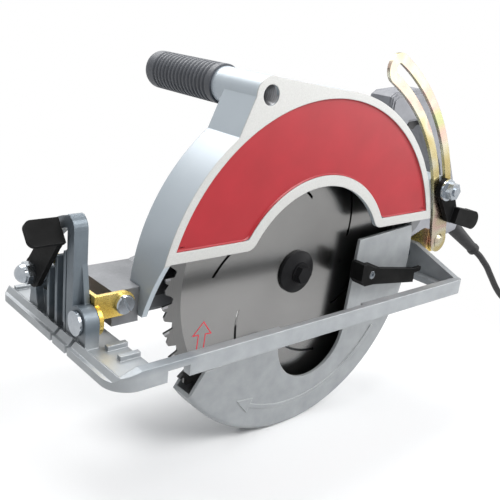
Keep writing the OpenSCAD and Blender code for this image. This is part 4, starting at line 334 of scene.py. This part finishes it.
# Thread of the guard's boss. Cut in the open hole, so that the side handle can stand on either side.
# A ridge of steel that winds along the hole's wall.
lo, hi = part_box("side_handle_grip")
boss = Vector(((lo.x + hi.x) / 2, near, (lo.z + hi.z) / 2))
HOLE, RIDGE, LEAD, WINDS, STEPS = 0.0072, 0.0008, 0.002, 9, 28
bm = bmesh.new()
corners = [bm.verts.new(boss + Vector((r, y, 0))) for r, y in
           ((HOLE, 0.0012), (HOLE - RIDGE, 0.0019), (HOLE - RIDGE, 0.0021), (HOLE, 0.0028))]
lines = [bm.edges.new(pair) for pair in zip(corners, corners[1:])]
bmesh.ops.spin(bm, geom=[*corners, *lines], cent=boss, axis=(0, 1, 0), dvec=(0, LEAD / STEPS, 0),
               angle=2 * pi * WINDS, steps=STEPS * WINDS)
bmesh.ops.recalc_face_normals(bm, faces=bm.faces)
for f in bm.faces:
    f.smooth = True
thread = finish("cut_thread", (0.22, 0.22, 0.23), (0.34, 0.34, 0.35), 1, (0.28, 0.4), 900, 0.00001,
                edge=0.0001)
make("boss_thread", bm, thread, "saw")

# Gear case. A grey casting behind the guard, which carries the arbor, the worm and the depth pivot.
# Its round cover is held by four screws, and an oil plug closes the worm's tunnel.
# Its edges get a lighter colour, for wear and painted highlight.
cast = finish("cast_grey", (0.15, 0.155, 0.165), (0.20, 0.205, 0.215), 0.35, (0.42, 0.55), 700, 0.00006,
              edge=0.0009, wear_and_highlight=(0.34, 0.345, 0.355))
dress(cast, "gear_case", "gear_cover")
zinc = finish("zinc", (0.32, 0.35, 0.385), (0.44, 0.47, 0.50), 1, (0.16, 0.26), 900, 0.00001, edge=0.0003)
dress(zinc, "gear_cover_screws", "motor_screws", "handle_screws", "lift_lever_screw", "depth_pivot_screw",
      "bevel_bolt", "bevel_nut", "bevel_pins", "depth_bolt", "depth_nut")
oxide = finish("black_oxide", (0.008, 0.008, 0.009), (0.016, 0.016, 0.017), 0, (0.26, 0.38), 800, 0.00002,
               gloss=0.06)
dress(oxide, "oil_plug", "guard_screws", "guard_return_spring", "guard_retainer", "side_handle_stud")

# Motor. A cast housing and a brush end cap round a wound field, bolted to the gear case.
# Its armature turns the worm, and two carbon brushes under black caps feed the commutator.
housing = finish("motor_grey", (0.30, 0.31, 0.33), (0.36, 0.37, 0.39), 0.3, (0.38, 0.5), 800, 0.00004,
                 edge=0.0008)
dress(housing, "motor_housing")
dress(cast, "motor_end_cap")
steel = finish("ground_steel", (0.50, 0.51, 0.52), (0.60, 0.61, 0.62), 1, (0.2, 0.34), 900, 0.00001,
               stretch=(1, 12, 1), edge=0.0003)
dress(steel, "armature_shaft", "arbor", "arbor_bearing", "rear_arbor_bearing", "worm_bearings", "worm",
      "inner_washer")
sheets = finish("laminations", (0.16, 0.15, 0.15), (0.26, 0.25, 0.24), 0.8, (0.4, 0.55), 900, 0.00005,
                stretch=(14, 1, 1))
dress(sheets, "field_core", "armature_core")
copper = finish("copper", (0.50, 0.20, 0.08), (0.62, 0.28, 0.12), 1, (0.28, 0.42), 900, 0.00006,
                stretch=(1, 8, 8))
dress(copper, "field_coils", "commutator")
carbon = finish("carbon", (0.02, 0.02, 0.02), (0.04, 0.04, 0.04), 0, (0.6, 0.75), 900, 0.00003)
dress(carbon, "carbon_brushes")
plastic = finish("black_plastic", (0.022, 0.022, 0.024), (0.034, 0.034, 0.036), 0, (0.42, 0.55), 1100,
                 0.00004)
dress(plastic, "brush_caps", "cooling_fan", "switch_body", "trigger")
bronze = finish("bronze", (0.48, 0.29, 0.11), (0.60, 0.38, 0.16), 1, (0.26, 0.4), 900, 0.00002)
dress(bronze, "worm_wheel")

# Blade. A plate of tool steel, ground in rings about the arbor and duller where the teeth were sharpened.
# A carbide tip is brazed to each tooth.
TEETH, TIP, PHASE, DULL, RAKE = 38, 0.130, 182.6, 0.1143, -6
TIP_SIZE = (0.0044, 0.0024, 0.0017)
plate, tree, shader = tree_of("blade_plate")
where = node(tree, "TexCoord").outputs["Object"]
reach = reckon(tree, "DISTANCE", where, hub, kind="VectorMath")
rings = node(tree, "TexNoise")
rings.noise_dimensions = "1D"
rings.inputs["Scale"].default_value = 2600
rings.inputs["Detail"].default_value = 3
tree.links.new(reach, rings.inputs["W"])
dull = node(tree, "MapRange", Value=reach, From_Min=DULL - 0.0002, From_Max=DULL + 0.0002).outputs[0]
cloud = noise(tree, 9)
bright = ramp(tree, cloud, (0.3, (0.23, 0.228, 0.224)), (0.7, (0.285, 0.283, 0.279)))
brushed = ramp(tree, rings.outputs[0], (0.3, (0.15, 0.15, 0.148)), (0.7, (0.21, 0.21, 0.207)))
both = node(tree, "MixRGB", Fac=dull, Color1=bright, Color2=brushed)
tree.links.new(both.outputs[0], shader.inputs["Base Color"])
polish = node(tree, "MapRange", Value=rings.outputs[0], From_Min=0.3, From_Max=0.7, To_Min=0.15, To_Max=0.27)
spread = reckon(tree, "ADD", polish.outputs[0], reckon(tree, "MULTIPLY", dull, 0.16))
tree.links.new(spread, shader.inputs["Roughness"])
bump = node(tree, "Bump", Height=rings.outputs[0], Distance=0.00002, Strength=0.3)
tree.links.new(bump.outputs[0], shader.inputs["Normal"])
shader.inputs["Metallic"].default_value = 1
dress(plate, "blade")

carbide = finish("carbide", (0.30, 0.30, 0.31), (0.40, 0.40, 0.41), 1, (0.28, 0.42), 900, 0.00001,
                 edge=0.0001)
bm = bmesh.new()
for k in range(TEETH):
    at = radians(PHASE + 360 / TEETH * k)
    turn = Matrix.Rotation(-at, 4, "Y")
    made = bmesh.ops.create_cube(bm, size=1)["verts"]
    bmesh.ops.scale(bm, vec=TIP_SIZE, verts=made)
    bmesh.ops.rotate(bm, cent=(0, 0, 0), matrix=Matrix.Rotation(radians(RAKE), 3, "Y"), verts=made)
    bmesh.ops.translate(bm, vec=(TIP - 0.0025, 0, 0.0007), verts=made)
    bmesh.ops.transform(bm, matrix=Matrix.Translation(hub) @ turn, verts=made)
make("carbide_tips", bm, carbide, "spindle")

# Blade arrow. An outline arrow printed in red on the plate.
# It shows the way the blade turns.
print_red = finish("print_red", (0.50, 0.012, 0.03), (0.58, 0.02, 0.04), 0, (0.45, 0.55), 900, 0.00001,
                   edge=0.0001)
ARROW, LINE, INK = 0.0985, 0.0009, 0.00006
STEM, BARB, TAIL, NECK, POINT = 0.0037, 0.0095, -0.015, -0.001, 0.0105
shape = ((-STEM, TAIL), (STEM, TAIL), (STEM, NECK), (BARB, NECK), (0, POINT), (-BARB, NECK), (-STEM, NECK))
bm = bmesh.new()
bm.faces.new([bm.verts.new((x, 0, z)) for x, z in shape])
bm.normal_update()
ring = bmesh.ops.inset_region(bm, faces=bm.faces[:], thickness=LINE, use_boundary=True, use_even_offset=True)
bmesh.ops.delete(bm, geom=[f for f in bm.faces if f not in ring["faces"]], context="FACES_ONLY")
bmesh.ops.delete(bm, geom=[e for e in bm.edges if e.is_wire], context="EDGES")
at = radians(201)
spot = Vector((hub.x + ARROW * cos(at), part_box("blade")[0].y - INK, hub.z + ARROW * sin(at)))
bmesh.ops.transform(bm, verts=bm.verts, matrix=Matrix.Translation(spot) @ Matrix.Rotation(radians(4), 4, "Y"))
make("blade_arrow", bm, print_red, "spindle")

# Arbor washer and bolt. Turned from steel and blackened.
# The hexagon bolt clamps the blade with the broad washer.
dress(oxide, "outer_washer", "arbor_bolt")

# Lower guard. A die casting in satin grey that swings back over the blade, with a direction arrow cast on.
# Its lift lever is black painted steel, held by a socket screw.
# The guard's and the levers' edges get a lighter colour, for wear and painted highlight.
satin = finish("lower_silver", (0.27, 0.285, 0.295), (0.33, 0.345, 0.355), 0.35, (0.4, 0.5), 900, 0.00004,
               edge=0.0008, wear_and_highlight=(0.5, 0.51, 0.52))
dress(satin, "lower_guard")
black = finish("black_steel", (0.007, 0.007, 0.007), (0.014, 0.014, 0.014), 0, (0.44, 0.56), 700, 0.00003,
               edge=0.0007, wear_and_highlight=(0.08, 0.08, 0.083), gloss=0.03)
dress(black, "lift_lever", "bevel_lever", "depth_lever")

# Foot. A die casting with a rail, ribs and an upright quadrant, ground flat underneath.
# It hangs on the bevel pins. Its edges are lightened by wear and painted highlight, and the quadrant above the
# plate is darkened with painted shade.
foot_paint = finish("foot_grey", (0.29, 0.308, 0.322), (0.35, 0.368, 0.382), 0.4, (0.36, 0.48), 800, 0.00004,
                    edge=0.001, wear_and_highlight=(0.54, 0.56, 0.575))
PLATE, QUADRANT = 0.008, 0.062
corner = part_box("foot")[0]
tree = foot_paint.node_tree
base = tree.nodes["Principled BSDF"].inputs["Base Color"]
place = node(tree, "SeparateXYZ", Vector=node(tree, "TexCoord").outputs["Object"]).outputs
# Painted shade: the quadrant's faces above the plate, towards the front, get a darker blue-grey multiplied into
# their colour.
raised = node(tree, "MapRange", Value=place["Z"], From_Min=corner.z + PLATE, From_Max=corner.z + PLATE + 0.01)
front = node(tree, "MapRange", Value=place["X"], From_Min=corner.x + QUADRANT,
             From_Max=corner.x + QUADRANT - 0.007)
painted_shade_mask = reckon(tree, "MULTIPLY", raised.outputs[0], front.outputs[0])
shade = node(tree, "MixRGB", Fac=painted_shade_mask, Color1=base.links[0].from_socket, Color2=(0.40, 0.455, 0.50, 1))
shade.blend_type = "MULTIPLY"
tree.links.new(shade.outputs[0], base)
dress(foot_paint, "foot")

# Brackets and depth arm. Pressed from steel plate, with a riveted joint at the rear.
# They are plated in yellow zinc, whose passivation runs from gold to rose and pale green.
for name, stops, nodes in (
    ("gold_zinc",
     ((0.30, (0.50, 0.33, 0.06)), (0.42, (0.76, 0.56, 0.16)), (0.50, (0.80, 0.62, 0.24)),
      (0.58, (0.74, 0.38, 0.26)), (0.70, (0.50, 0.48, 0.11))),
     ("front_bracket", "rear_bracket")),
    ("pale_zinc",
     ((0.30, (0.38, 0.29, 0.10)), (0.42, (0.46, 0.395, 0.215)), (0.50, (0.485, 0.455, 0.345)),
      (0.58, (0.47, 0.33, 0.28)), (0.70, (0.365, 0.375, 0.195))),
     ("depth_arm", "arm_rivet")),
):
    gold, tree, shader = tree_of(name)
    sheen = noise(tree, 30, detail=1.0)
    fine = noise(tree, 700)
    tree.links.new(ramp(tree, sheen, *stops), shader.inputs["Base Color"])
    spread = node(tree, "MapRange", Value=fine, From_Min=0.3, From_Max=0.7, To_Min=0.24, To_Max=0.3)
    tree.links.new(spread.outputs[0], shader.inputs["Roughness"])
    shader.inputs["Metallic"].default_value = 1
    soft, sharp = edges(tree, 0.0005)
    bump = node(tree, "Bump", Height=sheen, Distance=0.0001, Strength=0.15, Normal=soft)
    tree.links.new(bump.outputs[0], shader.inputs["Normal"])
    dress(gold, *nodes)

# Rear handle. Two halves moulded in grey plastic with a fine grain, which clamp the motor's end.
# Five screws close them round the switch and the trigger.
shell = finish("handle_grey", (0.20, 0.205, 0.225), (0.25, 0.255, 0.275), 0, (0.5, 0.62), 1200, 0.00006,
               edge=0.001)
dress(shell, "handle_near_half", "handle_far_half")

# Side handle. A rubber grip with rings moulded round it.
# It is pushed on a steel stud that screws into the guard's boss.
# The grip's edges get a lighter colour, for wear and painted highlight.
grip = finish("grip_rubber", (0.05, 0.055, 0.066), (0.068, 0.073, 0.085), 0, (0.45, 0.58), 1000, 0.00008,
              edge=0.0008, wear_and_highlight=(0.12, 0.125, 0.135))
dress(grip, "side_handle_grip")

# Lock button. A pin with a moulded red head, in the gear case's cover.
# It is pressed to hold the worm wheel while the blade is changed.
dress(red, "lock_button")
